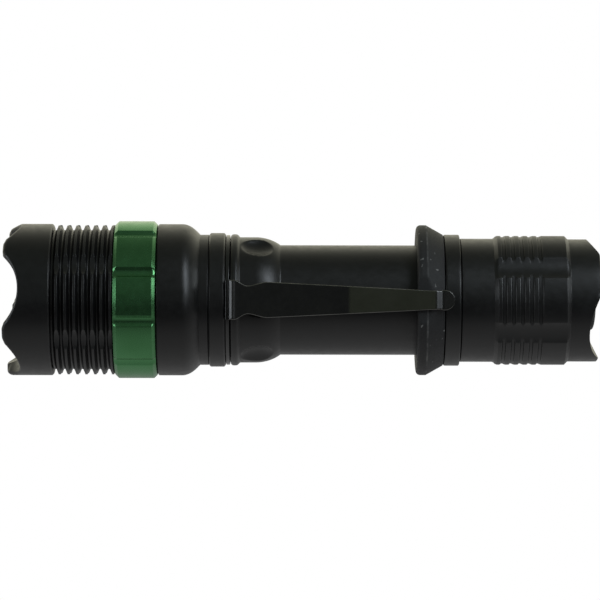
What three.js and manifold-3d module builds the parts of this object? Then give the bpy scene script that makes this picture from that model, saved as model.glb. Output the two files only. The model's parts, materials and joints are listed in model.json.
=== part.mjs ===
// Tactical flashlight with a focus ring, pocket clip, rubber grip guard and tail switch.
// Millimetres, +Z up. The torch lies on its side: front towards -X, tail towards +X,
// pocket clip facing -Y, lowest point of the focus ring on Z = 0.
// Along the torch, "s" is the distance from the front crests: x = s - LENGTH / 2.
// Angles round the torch are counted from -Y upwards, in degrees.
import * as THREE from 'three';
import { mergeVertices } from 'three/addons/utils/BufferGeometryUtils.js';
import Module from 'manifold-3d';

// ---------------------------------------------------------------- driving dimensions
const LENGTH = 134.2;
const RING_RADIUS = 17.85;
const HEAD_RADIUS = 17.2;
const NECK_RADIUS = 14.8;
const TUBE_RADIUS = 12.45;
const GUARD_RADIUS = 17.05;
const GRIP_RADIUS = 14.85;
const TAIL_RADIUS = 13.9;
const CELL_RADIUS = 9.2;
const CELL_LENGTH = 64.8;

const PLAY = 0.15; // radial or axial play between neighbouring pieces
const TOUCH = 0.1; // smallest gap between pieces that rest on each other
const EDGE_BREAK = 0.3; // small chamfer on a turned edge

const OUTER_SIDES = 32; // facets round an outer shell, a flat facing down
const INNER_SIDES = 24; // facets round an inner piece
const SMALL_SIDES = 12; // facets round pins, wires and contacts

// Bezel and window
const BEZEL_END = 10.7;
const BEZEL_CORNER = 1.2;
const BEZEL_CHAMFER = 0.4;
const NOTCH_COUNT = 5;
const NOTCH_RADIUS = 10.2;
const NOTCH_DEPTH = 3.55;
const NOTCH_ANGLE = 8.5;
const LIP_START = 3.8;
const LIP_END = 4.8;
const LIP_RADIUS = 13.2;
const MOUTH_FLARE = 1.5;
const WINDOW_RADIUS = 15.0;
const WINDOW_THICKNESS = 1.5;
const GASKET_THICKNESS = 0.9;
const GASKET_BORE = 13.5;

// Finned head and the barrel behind it
const FINS_START = 10.85;
const FIN_COUNT = 7;
const FIN_FIRST = 12.2;
const FIN_PITCH = 2.02;
const FIN_TIP = 0.8;
const FIN_RADIUS = 17.1;
const VALLEY_RADIUS = 15.95;
const VALLEY_FLOOR = 0.3;
const FINS_END = 24.6;
const BARREL_RADIUS = 15.1;
const BARREL_BORE = 13.3;
const BARREL_END = 36.7;
const HEAD_FLUTES = 6;
const HEAD_FLUTE_ANGLE = 28;
const HEAD_FLUTE_RADIUS = 4.8;
const HEAD_FLUTE_FLOOR = 16.2;

// Focus ring and the lens it drives
const RING_START = 24.8;
const RING_END = 34.35;
const RING_CHAMFER = 0.8;
const RING_BORE = 15.3;
const RING_GROOVES = 10;
const RING_GROOVE_ANGLE = 20.5;
const RING_GROOVE_WIDTH = 2.9;
const RING_GROOVE_DEPTH = 0.7;
const FOCUS_TURN = 120;
const FOCUS_TRAVEL = 5.5;
const PIN_COUNT = 3;
const PIN_ANGLE = 30;
const PIN_START = 32.3;
const PIN_RADIUS = 0.9;
const SLOT_WIDTH = 2.2;
const CAM_RADIUS = 1.2;
const CAM_OVERRUN = 0.04; // share of the turn by which a cam groove passes each end
const CARRIER_START = 13.2;
const CARRIER_END = 33.8;
const CARRIER_RADIUS = 13.1;
const CARRIER_BORE = 11.95;
const CARRIER_LIP = 1.0;
const LENS_RADIUS = 11.8;
const LENS_APEX = 12.3;
const LENS_RIM = 16.4;
const LENS_BACK = 18.4;
const DOME_RADIUS = 10.7;
const DOME_FULLNESS = 0.8;
const RETAINER_WIDTH = 1.1;

// Head base, light engine and driver
const BASE_START = 34.55;
const BASE_SHOULDER = 39.9;
const BASE_NECK = 44.0;
const BASE_END = 46.0;
const BASE_STEP = 38.2;
const PILL_TOP = 31.4;
const PILL_END = 41.6;
const PILL_FLANGE = 14.9;
const PILL_BODY = 12.5;
const PILL_WEB = 0.6;
const PEDESTAL_RADIUS = 8.0;
const DRIVER_RADIUS = 9.6;
const BOARD_THICKNESS = 1.6;
const LED_BOARD_RADIUS = 7.8;
const LED_SIDE = 3.5;
const LED_BASE = 0.7;
const LED_DOME_RADIUS = 1.4;
const LED_DOME_HEIGHT = 1.2;
const CONTACT_FOOT = 3.2;
const CONTACT_RADIUS = 2.2;

// Collar, clip ring and tube
const COLLAR_START = 46.1;
const COLLAR_END = 49.8;
const COLLAR_RADIUS = 15.2;
const COLLAR_CHAMFER = 0.4;
const CLIP_RING_START = 49.95;
const CLIP_RING_END = 50.8;
const CLIP_RING_RADIUS = 14.75;
const CLIP_TAB_RADIUS = 15.05;
const CLIP_TAB_DEPTH = 1.6;
const BEAD_START = 50.95;
const BEAD_END = 52.9;
const BEAD_ROUND = 0.85;
const SHOULDER_START = 57.0;
const SHOULDER_END = 62.1;
const SHOULDER_RADIUS = 14.25;
const SHOULDER_PULL = 0.6; // how far the shoulder's curve keeps its front radius
const FRONT_SPIGOT = 12.6;
const REAR_SPIGOT = 12.0;
const TUBE_START = 42.2;
const TUBE_END = 110.3;
const TUBE_BORE = 9.6;
const SEAL_WIDTH = 1.3;
const SEAL_DEPTH = 0.8;
const FRONT_SEAL = 43.9;
const REAR_SEAL = 103.6;
const DIMPLE_COUNT = 6;
const DIMPLE_ANGLE = 58.5;
const DIMPLE_CENTRE = 57.3;
const DIMPLE_HALF_LENGTH = 4.7;
const DIMPLE_HALF_HEIGHT = 2.6;
const DIMPLE_HALF_WIDTH = 3.9;
const DIMPLE_DEPTH = 1.45;
const CELL_START = 42.6;
const CELL_BUTTON = 0.8;
const CELL_BUTTON_RADIUS = 3.0;

// Pocket clip
const CLIP_THICKNESS = 0.9;
const CLIP_START = 50.25;
const CLIP_BEND = 1.3;
const CLIP_ROOT = 15.35;
const CLIP_ROOT_HEIGHT = 16.7;
const CLIP_ARM_HEIGHT = 17.4;
const CLIP_DIP_HEIGHT = 16.35;
const CLIP_TIP_HEIGHT = 17.0;
const CLIP_DIP_START = 97.2;
const CLIP_DIP = 99.0;
const CLIP_TIP = 101.2;
const CLIP_TIP_RADIUS = 2.25;
const CLIP_TIP_SWEEP = 0.62 * Math.PI;
const CLIP_ROOT_WIDTH = 8.9;
const CLIP_WAIST_WIDTH = 6.3;
const CLIP_SHOULDER_WIDTH = 8.0;
const CLIP_NECK_WIDTH = 4.2;
const CLIP_ROOT_END = 51.9;
const CLIP_WAIST = 54.9;
const CLIP_SHOULDER = 59.4;

// Guard and tail ring
const GUARD_START = 93.0;
const GUARD_CORNER = 1.0;
const GUARD_RIDGE = 95.0;
const GUARD_END = 99.1;
const GUARD_FOOT = 14.85;
const GUARD_FLAT = 16.2;
const TAIL_RING_START = 99.25;
const TAIL_RING_END = 102.75;
const TAIL_RING_RADIUS = 14.9;

// Tail cap
const CAP_START = 102.95;
const CAP_NECK_RADIUS = 14.0;
const CAP_THREAD_END = 111.2;
const GRIP_START = 110.3;
const GRIP_END = 127.4;
const GRIP_CHAMFER = 0.9;
const GRIP_GROOVES = 5;
const GRIP_GROOVE_FIRST = 112.5;
const GRIP_GROOVE_PITCH = 2.03;
const GRIP_GROOVE_WIDTH = 0.8;
const GRIP_GROOVE_DEPTH = 0.35;
const CAP_FLUTES = 6;
const CAP_FLUTE_ANGLE = 30;
const CAP_FLUTE_RADIUS = 5.8;
const CAP_FLUTE_FLOOR = 14.15;
const CAP_CORNER = 0.9;
const SCALLOP_COUNT = 3;
const SCALLOP_ANGLE = -33.3;
const SCALLOP_RADIUS = 15.5;
const SCALLOP_DEPTH = 2.5;
const CAP_LIP_START = 125.2;
const CAP_LIP_WIDTH = 1.2;
const CAP_LIP_RADIUS = 7.1;
const MOUTH_RADIUS = 8.6;

// Switch module
const MODULE_RADIUS = 11.0;
const RETAINER_START = 111.5;
const RETAINER_BORE = 7.6;
const BOARD_START = 113.4;
const SWITCH_SIDE = 11;
const SWITCH_START = 115.15;
const SWITCH_END = 121.6;
const PLUNGER_RADIUS = 2.2;
const PLUNGER_DEPTH = 1.2;
const BUTTON_TRAVEL = 1.8;
const WASHER_THICKNESS = 0.9;
const WASHER_BORE = 8.1;
const BOOT_RADIUS = 6.75;
const BOOT_FLANGE = 9.6;
const BOOT_FLANGE_THICKNESS = 1.45;
const BOOT_WALL = 1.4;
const BOOT_POST = 2.4;
const BOOT_EDGE = 1.5;
const BOOT_TOP = 133.9;
const SPRING_WIRE = 0.5;
const SPRING_TURNS = 5;
const SPRING_FOOT = 6.4;
const SPRING_TIP = 3.8;

// ---------------------------------------------------------------- derived places
const windowStart = LIP_END + TOUCH;
const windowEnd = windowStart + WINDOW_THICKNESS;
const gasketStart = windowEnd + TOUCH;
const headStart = gasketStart + GASKET_THICKNESS + TOUCH;
const ledBoardEnd = PILL_TOP - TOUCH;
const ledBoardStart = ledBoardEnd - BOARD_THICKNESS;
const driverStart = BASE_STEP + PILL_WEB + PLAY;
const contactStart = driverStart + BOARD_THICKNESS + TOUCH;
const contactEnd = CELL_START - CELL_BUTTON - 2 * TOUCH;
const cellEnd = CELL_START + CELL_LENGTH;
const plungerStart = SWITCH_END - PLUNGER_DEPTH;
const plungerEnd = CAP_LIP_START - 4 * TOUCH;
const bootFlangeEnd = CAP_LIP_START - PLAY;
const bootFlangeStart = bootFlangeEnd - BOOT_FLANGE_THICKNESS;
const washerEnd = bootFlangeStart - BUTTON_TRAVEL - 2 * TOUCH;

// ---------------------------------------------------------------- materials
const finish = (color, roughness, metalness) =>
  new THREE.MeshStandardMaterial({ color, roughness, metalness });
const FINISH = {
  blackAnodised: () => finish(0x1c1d1c, 0.45, 0.8),
  greenAnodised: () => finish(0x1f5a33, 0.4, 0.8),
  bareAluminium: () => finish(0xb4b6b8, 0.35, 1.0),
  blackSteel: () => finish(0x141413, 0.3, 0.6),
  springSteel: () => finish(0xbfc2c6, 0.25, 1.0),
  brass: () => finish(0xc9a24a, 0.3, 1.0),
  rubber: () => finish(0x2b2b2d, 0.85, 0.0),
  glass: () => finish(0xdfeaf0, 0.05, 0.0),
  phosphor: () => finish(0xe8d34a, 0.5, 0.0),
  greenBoard: () => finish(0x1d5b35, 0.5, 0.1),
  blackPlastic: () => finish(0x202022, 0.6, 0.0),
  cellWrap: () => finish(0x3a6ea5, 0.4, 0.0),
};

// ---------------------------------------------------------------- solids
const wasm = await Module();
wasm.setup();

/** Closed three.js geometry to a solid that can be cut and joined. */
function solidOf(geometry) {
  const bare = geometry.clone();
  bare.deleteAttribute('normal');
  bare.deleteAttribute('uv');
  const merged = mergeVertices(bare, 1e-4);
  const corners = merged.index.array;
  const kept = [];
  for (let i = 0; i < corners.length; i += 3) {
    const [a, b, c] = [corners[i], corners[i + 1], corners[i + 2]];
    if (a !== b && b !== c && c !== a) kept.push(a, b, c);
  }
  return new wasm.Manifold(new wasm.Mesh({
    numProp: 3,
    vertProperties: new Float32Array(merged.attributes.position.array),
    triVerts: new Uint32Array(kept),
  }));
}

/** Solid back to a three.js geometry. */
function geometryOf(solid) {
  const mesh = solid.getMesh();
  const geometry = new THREE.BufferGeometry();
  geometry.setAttribute('position', new THREE.BufferAttribute(mesh.vertProperties, 3));
  geometry.setIndex(new THREE.BufferAttribute(mesh.triVerts, 1));
  geometry.computeVertexNormals();
  return geometry;
}

const subtractAll = (solid, cutters) => cutters.reduce((rest, cutter) => rest.subtract(cutter), solid);

/** Turned piece: a closed outline of (s, r) revolved about the torch axis. */
function turned(outline, sides = OUTER_SIDES, divisions = 4) {
  const points = outline.getPoints(divisions).map((p) => new THREE.Vector2(Math.max(p.y, 0), p.x));
  const onAxis = points[0].x === 0;
  if (!onAxis && points[0].distanceTo(points.at(-1)) > 0) points.push(points[0].clone());
  if (THREE.ShapeUtils.isClockWise(points)) points.reverse();
  const flatDown = Math.PI / sides;
  const circumscribed = 1 / Math.cos(flatDown);
  const geometry = new THREE.LatheGeometry(points, sides, flatDown);
  geometry.scale(circumscribed, 1, circumscribed);
  geometry.rotateZ(-Math.PI / 2);
  return solidOf(geometry);
}

/** Outline drawn with straight runs through (s, r) pairs. */
function outlineOf(...pairs) {
  const outline = new THREE.Path();
  outline.moveTo(...pairs[0]);
  for (const pair of pairs.slice(1)) outline.lineTo(...pair);
  return outline;
}

/** Plain ring or tube between two radii. */
const ring = (start, end, inner, outer, sides = OUTER_SIDES) =>
  turned(outlineOf([start, inner], [end, inner], [end, outer], [start, outer]), sides);

/** Ring with both outer edges chamfered. */
const chamferedRing = (start, end, inner, outer, chamfer) => turned(outlineOf(
  [start, inner],
  [start, outer - chamfer],
  [start + chamfer, outer],
  [end - chamfer, outer],
  [end, outer - chamfer],
  [end, inner],
));

/** Plain disc or rod on the axis. */
const disc = (start, end, radius, sides = INNER_SIDES) =>
  turned(outlineOf([start, 0], [start, radius], [end, radius], [end, 0]), sides);

/** O-ring of round section, sitting in a seal groove below a spigot's surface. */
function oRing(grooveStart, spigot) {
  const radius = SEAL_DEPTH / 2;
  const section = new THREE.Path();
  section.absarc(grooveStart + SEAL_WIDTH / 2, spigot - radius + TOUCH / 2, radius, 0, 2 * Math.PI);
  return turned(section, OUTER_SIDES, 3);
}

/** Turns a solid built at the clip side (-Y) to an angle round the torch. */
const facing = (solid, degrees) => solid.rotate([-degrees, 0, 0]);

/** Copies of one solid spread evenly round the axis. */
function spread(solid, count, firstAngle) {
  return Array.from({ length: count }, (_, i) => facing(solid, firstAngle + (i * 360) / count));
}

/** Round bar along the radius at the clip side. */
function radialBar(s, radius, from, to, sides = SMALL_SIDES) {
  const bar = new THREE.CylinderGeometry(radius, radius, to - from, sides);
  bar.translate(s, -(from + to) / 2, 0);
  return solidOf(bar);
}

/** Round bar parallel to the axis at the clip side, its near face at a given radius. */
function axialBar(start, end, radius, floor) {
  const bar = new THREE.CylinderGeometry(radius, radius, end - start, SMALL_SIDES);
  bar.rotateZ(Math.PI / 2);
  bar.translate((start + end) / 2, -floor - radius, 0);
  return solidOf(bar);
}

/** Round wire along a curve. */
function wire(curve, radius, steps, sides = 8) {
  const section = new THREE.Shape();
  section.absarc(0, 0, radius, 0, 2 * Math.PI);
  return solidOf(new THREE.ExtrudeGeometry(section, {
    steps,
    curveSegments: sides / 2,
    extrudePath: curve,
  }));
}

/** Helix about the torch axis; the radius may change along it. */
class Helix extends THREE.Curve {
  constructor({ start, end, startRadius, endRadius, startAngle, turn }) {
    super();
    Object.assign(this, { start, end, startRadius, endRadius, startAngle, turn });
  }

  getPoint(t, target = new THREE.Vector3()) {
    const angle = THREE.MathUtils.degToRad(this.startAngle + t * this.turn);
    const radius = THREE.MathUtils.lerp(this.startRadius, this.endRadius, t);
    const s = THREE.MathUtils.lerp(this.start, this.end, t);
    return target.set(s, -radius * Math.cos(angle), radius * Math.sin(angle));
  }
}

// ---------------------------------------------------------------- head
/** Screwed front ring with rounded notches between its crests. */
function strikeBezel() {
  const bore = WINDOW_RADIUS + 2 * PLAY;
  const outline = new THREE.Path();
  outline.moveTo(BEZEL_END, bore);
  outline.lineTo(BEZEL_END, HEAD_RADIUS - BEZEL_CHAMFER);
  outline.lineTo(BEZEL_END - BEZEL_CHAMFER, HEAD_RADIUS);
  outline.lineTo(BEZEL_CORNER, HEAD_RADIUS);
  outline.quadraticCurveTo(0, HEAD_RADIUS, 0, HEAD_RADIUS - BEZEL_CORNER);
  outline.lineTo(0, LIP_RADIUS + MOUTH_FLARE);
  outline.lineTo(LIP_START, LIP_RADIUS);
  outline.lineTo(LIP_END, LIP_RADIUS);
  outline.lineTo(LIP_END, bore);
  const notch = radialBar(NOTCH_DEPTH - NOTCH_RADIUS, NOTCH_RADIUS, 0, 2 * HEAD_RADIUS, OUTER_SIDES);
  return subtractAll(turned(outline, OUTER_SIDES, 3), spread(notch, NOTCH_COUNT, NOTCH_ANGLE));
}

const frontWindow = () => disc(windowStart, windowEnd, WINDOW_RADIUS, OUTER_SIDES);
const windowGasket = () =>
  ring(gasketStart, gasketStart + GASKET_THICKNESS, GASKET_BORE, WINDOW_RADIUS);

/** Adds the cooling fins to the head's outline, each a flat tip between sloped flanks. */
function addFins(outline) {
  const flank = (FIN_PITCH - FIN_TIP - VALLEY_FLOOR) / 2;
  for (let i = 0; i < FIN_COUNT; i += 1) {
    const tipStart = FIN_FIRST + i * FIN_PITCH - FIN_TIP / 2;
    const tipEnd = Math.min(tipStart + FIN_TIP, FINS_END);
    outline.lineTo(tipStart - flank, VALLEY_RADIUS);
    outline.lineTo(tipStart, FIN_RADIUS);
    outline.lineTo(tipEnd, FIN_RADIUS);
    if (i < FIN_COUNT - 1) outline.lineTo(tipEnd + flank, VALLEY_RADIUS);
  }
}

/** Finned shell, with the barrel behind it that carries the focus ring. */
function finnedHead() {
  const outline = outlineOf(
    [headStart, BARREL_BORE],
    [headStart, BARREL_RADIUS],
    [FINS_START, BARREL_RADIUS],
    [FINS_START, VALLEY_RADIUS],
  );
  addFins(outline);
  outline.lineTo(FINS_END, BARREL_RADIUS);
  outline.lineTo(BARREL_END, BARREL_RADIUS);
  outline.lineTo(BARREL_END, BARREL_BORE);
  const flute = axialBar(FINS_START - TOUCH, FINS_END + TOUCH, HEAD_FLUTE_RADIUS, HEAD_FLUTE_FLOOR);
  const slotLength = FOCUS_TRAVEL + SLOT_WIDTH;
  const slot = new THREE.BoxGeometry(slotLength, BARREL_RADIUS, SLOT_WIDTH);
  slot.translate(PIN_START + (SLOT_WIDTH - slotLength) / 2, -BARREL_RADIUS, 0);
  return subtractAll(turned(outline), [
    ...spread(flute, HEAD_FLUTES, HEAD_FLUTE_ANGLE),
    ...spread(solidOf(slot), PIN_COUNT, PIN_ANGLE),
  ]);
}

/** Plano-convex lens, domed towards the window. */
function lens() {
  const outline = outlineOf(
    [LENS_BACK, 0],
    [LENS_BACK, LENS_RADIUS],
    [LENS_RIM, LENS_RADIUS],
    [LENS_RIM, DOME_RADIUS],
  );
  outline.quadraticCurveTo(LENS_APEX, DOME_FULLNESS * DOME_RADIUS, LENS_APEX, 0);
  return turned(outline, INNER_SIDES, 6);
}

/** Sleeve that slides in the barrel, with a seat for the lens and holes for the pins. */
function lensCarrier() {
  const seat = LENS_BACK + TOUCH;
  const blank = turned(outlineOf(
    [CARRIER_START, CARRIER_BORE],
    [CARRIER_START, CARRIER_RADIUS],
    [CARRIER_END, CARRIER_RADIUS],
    [CARRIER_END, CARRIER_BORE],
    [seat + CARRIER_LIP, CARRIER_BORE],
    [seat + CARRIER_LIP, CARRIER_BORE - CARRIER_LIP],
    [seat, CARRIER_BORE - CARRIER_LIP],
    [seat, CARRIER_BORE],
  ));
  const hole = radialBar(PIN_START, PIN_RADIUS + TOUCH, CARRIER_BORE - 1, CARRIER_RADIUS + 1);
  return subtractAll(blank, spread(hole, PIN_COUNT, PIN_ANGLE));
}

function lensRetainer() {
  const end = LENS_RIM - TOUCH;
  return ring(end - RETAINER_WIDTH, end, DOME_RADIUS + 2 * TOUCH, LENS_RADIUS, INNER_SIDES);
}

/** Pin through the carrier and barrel, its ball end in the focus ring's cam groove. */
function focusPin(index) {
  const shank = radialBar(PIN_START, PIN_RADIUS, CARRIER_BORE + PLAY, RING_BORE);
  const ball = new THREE.SphereGeometry(PIN_RADIUS, SMALL_SIDES, SMALL_SIDES / 2);
  ball.translate(PIN_START, -RING_BORE, 0);
  return facing(shank.add(solidOf(ball)), PIN_ANGLE + (index * 360) / PIN_COUNT);
}

/** Groove that pulls a pin forward as the ring turns. */
function camGroove(index) {
  const firstAngle = PIN_ANGLE + (index * 360) / PIN_COUNT;
  const path = new Helix({
    start: PIN_START + CAM_OVERRUN * FOCUS_TRAVEL,
    end: PIN_START - (1 + CAM_OVERRUN) * FOCUS_TRAVEL,
    startRadius: RING_BORE,
    endRadius: RING_BORE,
    startAngle: firstAngle - CAM_OVERRUN * FOCUS_TURN,
    turn: (1 + 2 * CAM_OVERRUN) * FOCUS_TURN,
  });
  return wire(path, CAM_RADIUS, 20);
}

/** Cutter for one finger groove: a long trapezoid, wider at the surface. */
function fingerGroove() {
  const floor = RING_RADIUS - RING_GROOVE_DEPTH;
  const top = RING_RADIUS + RING_GROOVE_DEPTH;
  const floorHalf = (RING_GROOVE_WIDTH - RING_GROOVE_DEPTH) / 2;
  const topHalf = RING_GROOVE_WIDTH / 2 + RING_GROOVE_DEPTH;
  const section = new THREE.Shape();
  section.moveTo(-floorHalf, -floor);
  section.lineTo(-topHalf, -top);
  section.lineTo(topHalf, -top);
  section.lineTo(floorHalf, -floor);
  const depth = RING_END - RING_START + 2;
  const groove = new THREE.ExtrudeGeometry(section, { depth, bevelEnabled: false });
  groove.rotateY(Math.PI / 2);
  groove.translate(RING_START - 1, 0, 0);
  return solidOf(groove);
}

function focusRing() {
  const blank = chamferedRing(RING_START, RING_END, RING_BORE, RING_RADIUS, RING_CHAMFER);
  const cams = Array.from({ length: PIN_COUNT }, (_, i) => camGroove(i));
  return subtractAll(blank, [...spread(fingerGroove(), RING_GROOVES, RING_GROOVE_ANGLE), ...cams]);
}

/** Shell behind the focus ring, with a rounded shoulder down to the neck. */
function headBase() {
  const outline = new THREE.Path();
  outline.moveTo(BASE_START, BARREL_RADIUS + PLAY);
  outline.lineTo(BASE_START, HEAD_RADIUS - EDGE_BREAK);
  outline.lineTo(BASE_START + EDGE_BREAK, HEAD_RADIUS);
  outline.lineTo(BASE_SHOULDER, HEAD_RADIUS);
  outline.bezierCurveTo(
    (BASE_SHOULDER + BASE_NECK) / 2, HEAD_RADIUS,
    BASE_NECK - 3 * EDGE_BREAK, (HEAD_RADIUS + NECK_RADIUS) / 2,
    BASE_NECK, NECK_RADIUS,
  );
  outline.lineTo(BASE_END, NECK_RADIUS);
  outline.lineTo(BASE_END, FRONT_SPIGOT + PLAY);
  outline.lineTo(BASE_STEP, FRONT_SPIGOT + PLAY);
  outline.lineTo(BASE_STEP, BARREL_RADIUS + PLAY);
  return turned(outline, OUTER_SIDES, 5);
}

// ---------------------------------------------------------------- light engine
/** Pedestal for the LED, a flange clamped in the head base, and a cup for the driver. */
function ledPill() {
  const cup = DRIVER_RADIUS + PLAY;
  return turned(outlineOf(
    [PILL_TOP, 0],
    [PILL_TOP, PEDESTAL_RADIUS],
    [BARREL_END + PLAY, PEDESTAL_RADIUS],
    [BARREL_END + PLAY, PILL_FLANGE],
    [BASE_STEP - TOUCH, PILL_FLANGE],
    [BASE_STEP - TOUCH, PILL_BODY],
    [PILL_END, PILL_BODY],
    [PILL_END, cup],
    [BASE_STEP + PILL_WEB, cup],
    [BASE_STEP + PILL_WEB, 0],
  ), INNER_SIDES);
}

const ledBoard = () => disc(ledBoardStart, ledBoardEnd, LED_BOARD_RADIUS);

function ledEmitter() {
  const back = ledBoardStart - TOUCH;
  const base = new THREE.BoxGeometry(LED_BASE, LED_SIDE, LED_SIDE);
  base.translate(back - LED_BASE / 2, 0, 0);
  const dome = new THREE.Path();
  dome.moveTo(back - LED_BASE / 2, 0);
  dome.lineTo(back - LED_BASE / 2, LED_DOME_RADIUS);
  dome.absellipse(back - LED_BASE, 0, LED_DOME_HEIGHT, LED_DOME_RADIUS, Math.PI / 2, Math.PI);
  return solidOf(base).add(turned(dome, SMALL_SIDES, 3));
}

const driverBoard = () => disc(driverStart, driverStart + BOARD_THICKNESS, DRIVER_RADIUS);

const frontContact = () => turned(outlineOf(
  [contactStart, 0],
  [contactStart, CONTACT_FOOT],
  [contactStart + EDGE_BREAK, CONTACT_FOOT],
  [contactStart + 2 * EDGE_BREAK, CONTACT_RADIUS],
  [contactEnd, CONTACT_RADIUS],
  [contactEnd, 0],
), SMALL_SIDES);

// ---------------------------------------------------------------- collar, clip and tube
const collarRing = () =>
  chamferedRing(COLLAR_START, COLLAR_END, FRONT_SPIGOT + PLAY, COLLAR_RADIUS, COLLAR_CHAMFER);

/** Washer part of the clip, clamped between the collar and the tube's bead. */
function clipRing() {
  const washer = ring(CLIP_RING_START, CLIP_RING_END, FRONT_SPIGOT + PLAY, CLIP_RING_RADIUS);
  const thickness = CLIP_RING_END - CLIP_RING_START;
  const tab = new THREE.BoxGeometry(thickness, CLIP_TAB_DEPTH, CLIP_ROOT_WIDTH);
  tab.translate(CLIP_RING_START + thickness / 2, CLIP_TAB_DEPTH / 2 - CLIP_TAB_RADIUS, 0);
  return washer.add(solidOf(tab));
}

/** Adds an O-ring groove to an outline that runs along a spigot. */
function addSealGroove(outline, start, spigot) {
  outline.lineTo(start, spigot);
  outline.lineTo(start, spigot - SEAL_DEPTH);
  outline.lineTo(start + SEAL_WIDTH, spigot - SEAL_DEPTH);
  outline.lineTo(start + SEAL_WIDTH, spigot);
}

/** Tube from the front spigot to the rear thread, with a dimpled front shoulder. */
function batteryTube() {
  const outline = outlineOf([TUBE_START, TUBE_BORE], [TUBE_START, FRONT_SPIGOT]);
  addSealGroove(outline, FRONT_SEAL, FRONT_SPIGOT);
  outline.lineTo(BEAD_START, FRONT_SPIGOT);
  outline.lineTo(BEAD_START, GRIP_RADIUS - BEAD_ROUND);
  outline.quadraticCurveTo(BEAD_START, GRIP_RADIUS, BEAD_START + BEAD_ROUND, GRIP_RADIUS);
  outline.lineTo(BEAD_END - BEAD_ROUND, GRIP_RADIUS);
  outline.quadraticCurveTo(BEAD_END, GRIP_RADIUS, BEAD_END, GRIP_RADIUS - BEAD_ROUND);
  outline.lineTo(BEAD_END + PLAY, SHOULDER_RADIUS);
  outline.lineTo(SHOULDER_START, SHOULDER_RADIUS);
  outline.bezierCurveTo(
    THREE.MathUtils.lerp(SHOULDER_START, SHOULDER_END, SHOULDER_PULL), SHOULDER_RADIUS,
    SHOULDER_END - EDGE_BREAK, (SHOULDER_RADIUS + TUBE_RADIUS) / 2,
    SHOULDER_END, TUBE_RADIUS,
  );
  outline.lineTo(GUARD_END, TUBE_RADIUS);
  outline.lineTo(GUARD_END, REAR_SPIGOT);
  addSealGroove(outline, REAR_SEAL, REAR_SPIGOT);
  outline.lineTo(TUBE_END - EDGE_BREAK, REAR_SPIGOT);
  outline.lineTo(TUBE_END, REAR_SPIGOT - EDGE_BREAK);
  outline.lineTo(TUBE_END, TUBE_BORE);
  const dimple = new THREE.SphereGeometry(1, 12, 8);
  dimple.scale(DIMPLE_HALF_LENGTH, DIMPLE_HALF_HEIGHT, DIMPLE_HALF_WIDTH);
  dimple.translate(DIMPLE_CENTRE, DIMPLE_DEPTH - SHOULDER_RADIUS - DIMPLE_HALF_HEIGHT, 0);
  return subtractAll(turned(outline), spread(solidOf(dimple), DIMPLE_COUNT, DIMPLE_ANGLE));
}

/** Side view of the clip arm: root bend, long arm, dip towards the body, flared tip. */
function clipSide() {
  const armStart = CLIP_START + CLIP_BEND;
  const upper = new THREE.Path();
  upper.moveTo(CLIP_START, -CLIP_ROOT);
  upper.lineTo(CLIP_START, CLIP_BEND - CLIP_ROOT_HEIGHT);
  upper.quadraticCurveTo(CLIP_START, -CLIP_ROOT_HEIGHT, armStart, -CLIP_ROOT_HEIGHT);
  upper.lineTo(CLIP_DIP_START, -CLIP_ARM_HEIGHT);
  const middle = (CLIP_DIP_START + CLIP_DIP) / 2;
  upper.bezierCurveTo(
    middle, -CLIP_ARM_HEIGHT,
    middle, -CLIP_DIP_HEIGHT,
    CLIP_DIP, -CLIP_DIP_HEIGHT,
  );
  upper.lineTo(CLIP_TIP, -CLIP_TIP_HEIGHT);
  const side = new THREE.Shape(upper.getPoints(5));
  const slant = CLIP_THICKNESS / 3;
  side.lineTo(CLIP_TIP + slant, CLIP_THICKNESS - CLIP_TIP_HEIGHT);
  side.lineTo(CLIP_DIP + slant, CLIP_THICKNESS - CLIP_DIP_HEIGHT);
  side.lineTo(CLIP_DIP - 2 * slant, CLIP_THICKNESS - CLIP_DIP_HEIGHT);
  side.lineTo(CLIP_DIP_START - slant, CLIP_THICKNESS - CLIP_ARM_HEIGHT);
  side.lineTo(armStart, CLIP_THICKNESS - CLIP_ROOT_HEIGHT);
  side.lineTo(CLIP_START + CLIP_THICKNESS, -CLIP_ROOT);
  return side;
}

/** Upper edge of the clip's plan view, from the root to the start of the round tip. */
function clipEdge(plan, mirror) {
  const half = (width) => (mirror * width) / 2;
  const firstMiddle = (CLIP_ROOT_END + CLIP_WAIST) / 2;
  const secondMiddle = (CLIP_WAIST + CLIP_SHOULDER) / 2;
  plan.lineTo(CLIP_ROOT_END, half(CLIP_ROOT_WIDTH));
  plan.bezierCurveTo(
    firstMiddle, half(CLIP_ROOT_WIDTH),
    firstMiddle, half(CLIP_WAIST_WIDTH),
    CLIP_WAIST, half(CLIP_WAIST_WIDTH),
  );
  plan.bezierCurveTo(
    secondMiddle, half(CLIP_WAIST_WIDTH),
    secondMiddle, half(CLIP_SHOULDER_WIDTH),
    CLIP_SHOULDER, half(CLIP_SHOULDER_WIDTH),
  );
  plan.lineTo(CLIP_DIP_START, half(CLIP_NECK_WIDTH));
}

/** Plan view of the clip arm: wide root, waist, shoulder, taper and round tip. */
function clipPlan() {
  const lower = new THREE.Path();
  lower.moveTo(CLIP_RING_START - 1, -CLIP_ROOT_WIDTH / 2);
  clipEdge(lower, -1);
  const upper = new THREE.Path();
  upper.moveTo(CLIP_RING_START - 1, CLIP_ROOT_WIDTH / 2);
  clipEdge(upper, 1);
  const tip = new THREE.Path();
  tip.absarc(CLIP_TIP - CLIP_TIP_RADIUS, 0, CLIP_TIP_RADIUS, -CLIP_TIP_SWEEP, CLIP_TIP_SWEEP);
  return new THREE.Shape([...lower.getPoints(5), ...tip.getPoints(6), ...upper.getPoints(5).reverse()]);
}

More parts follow.
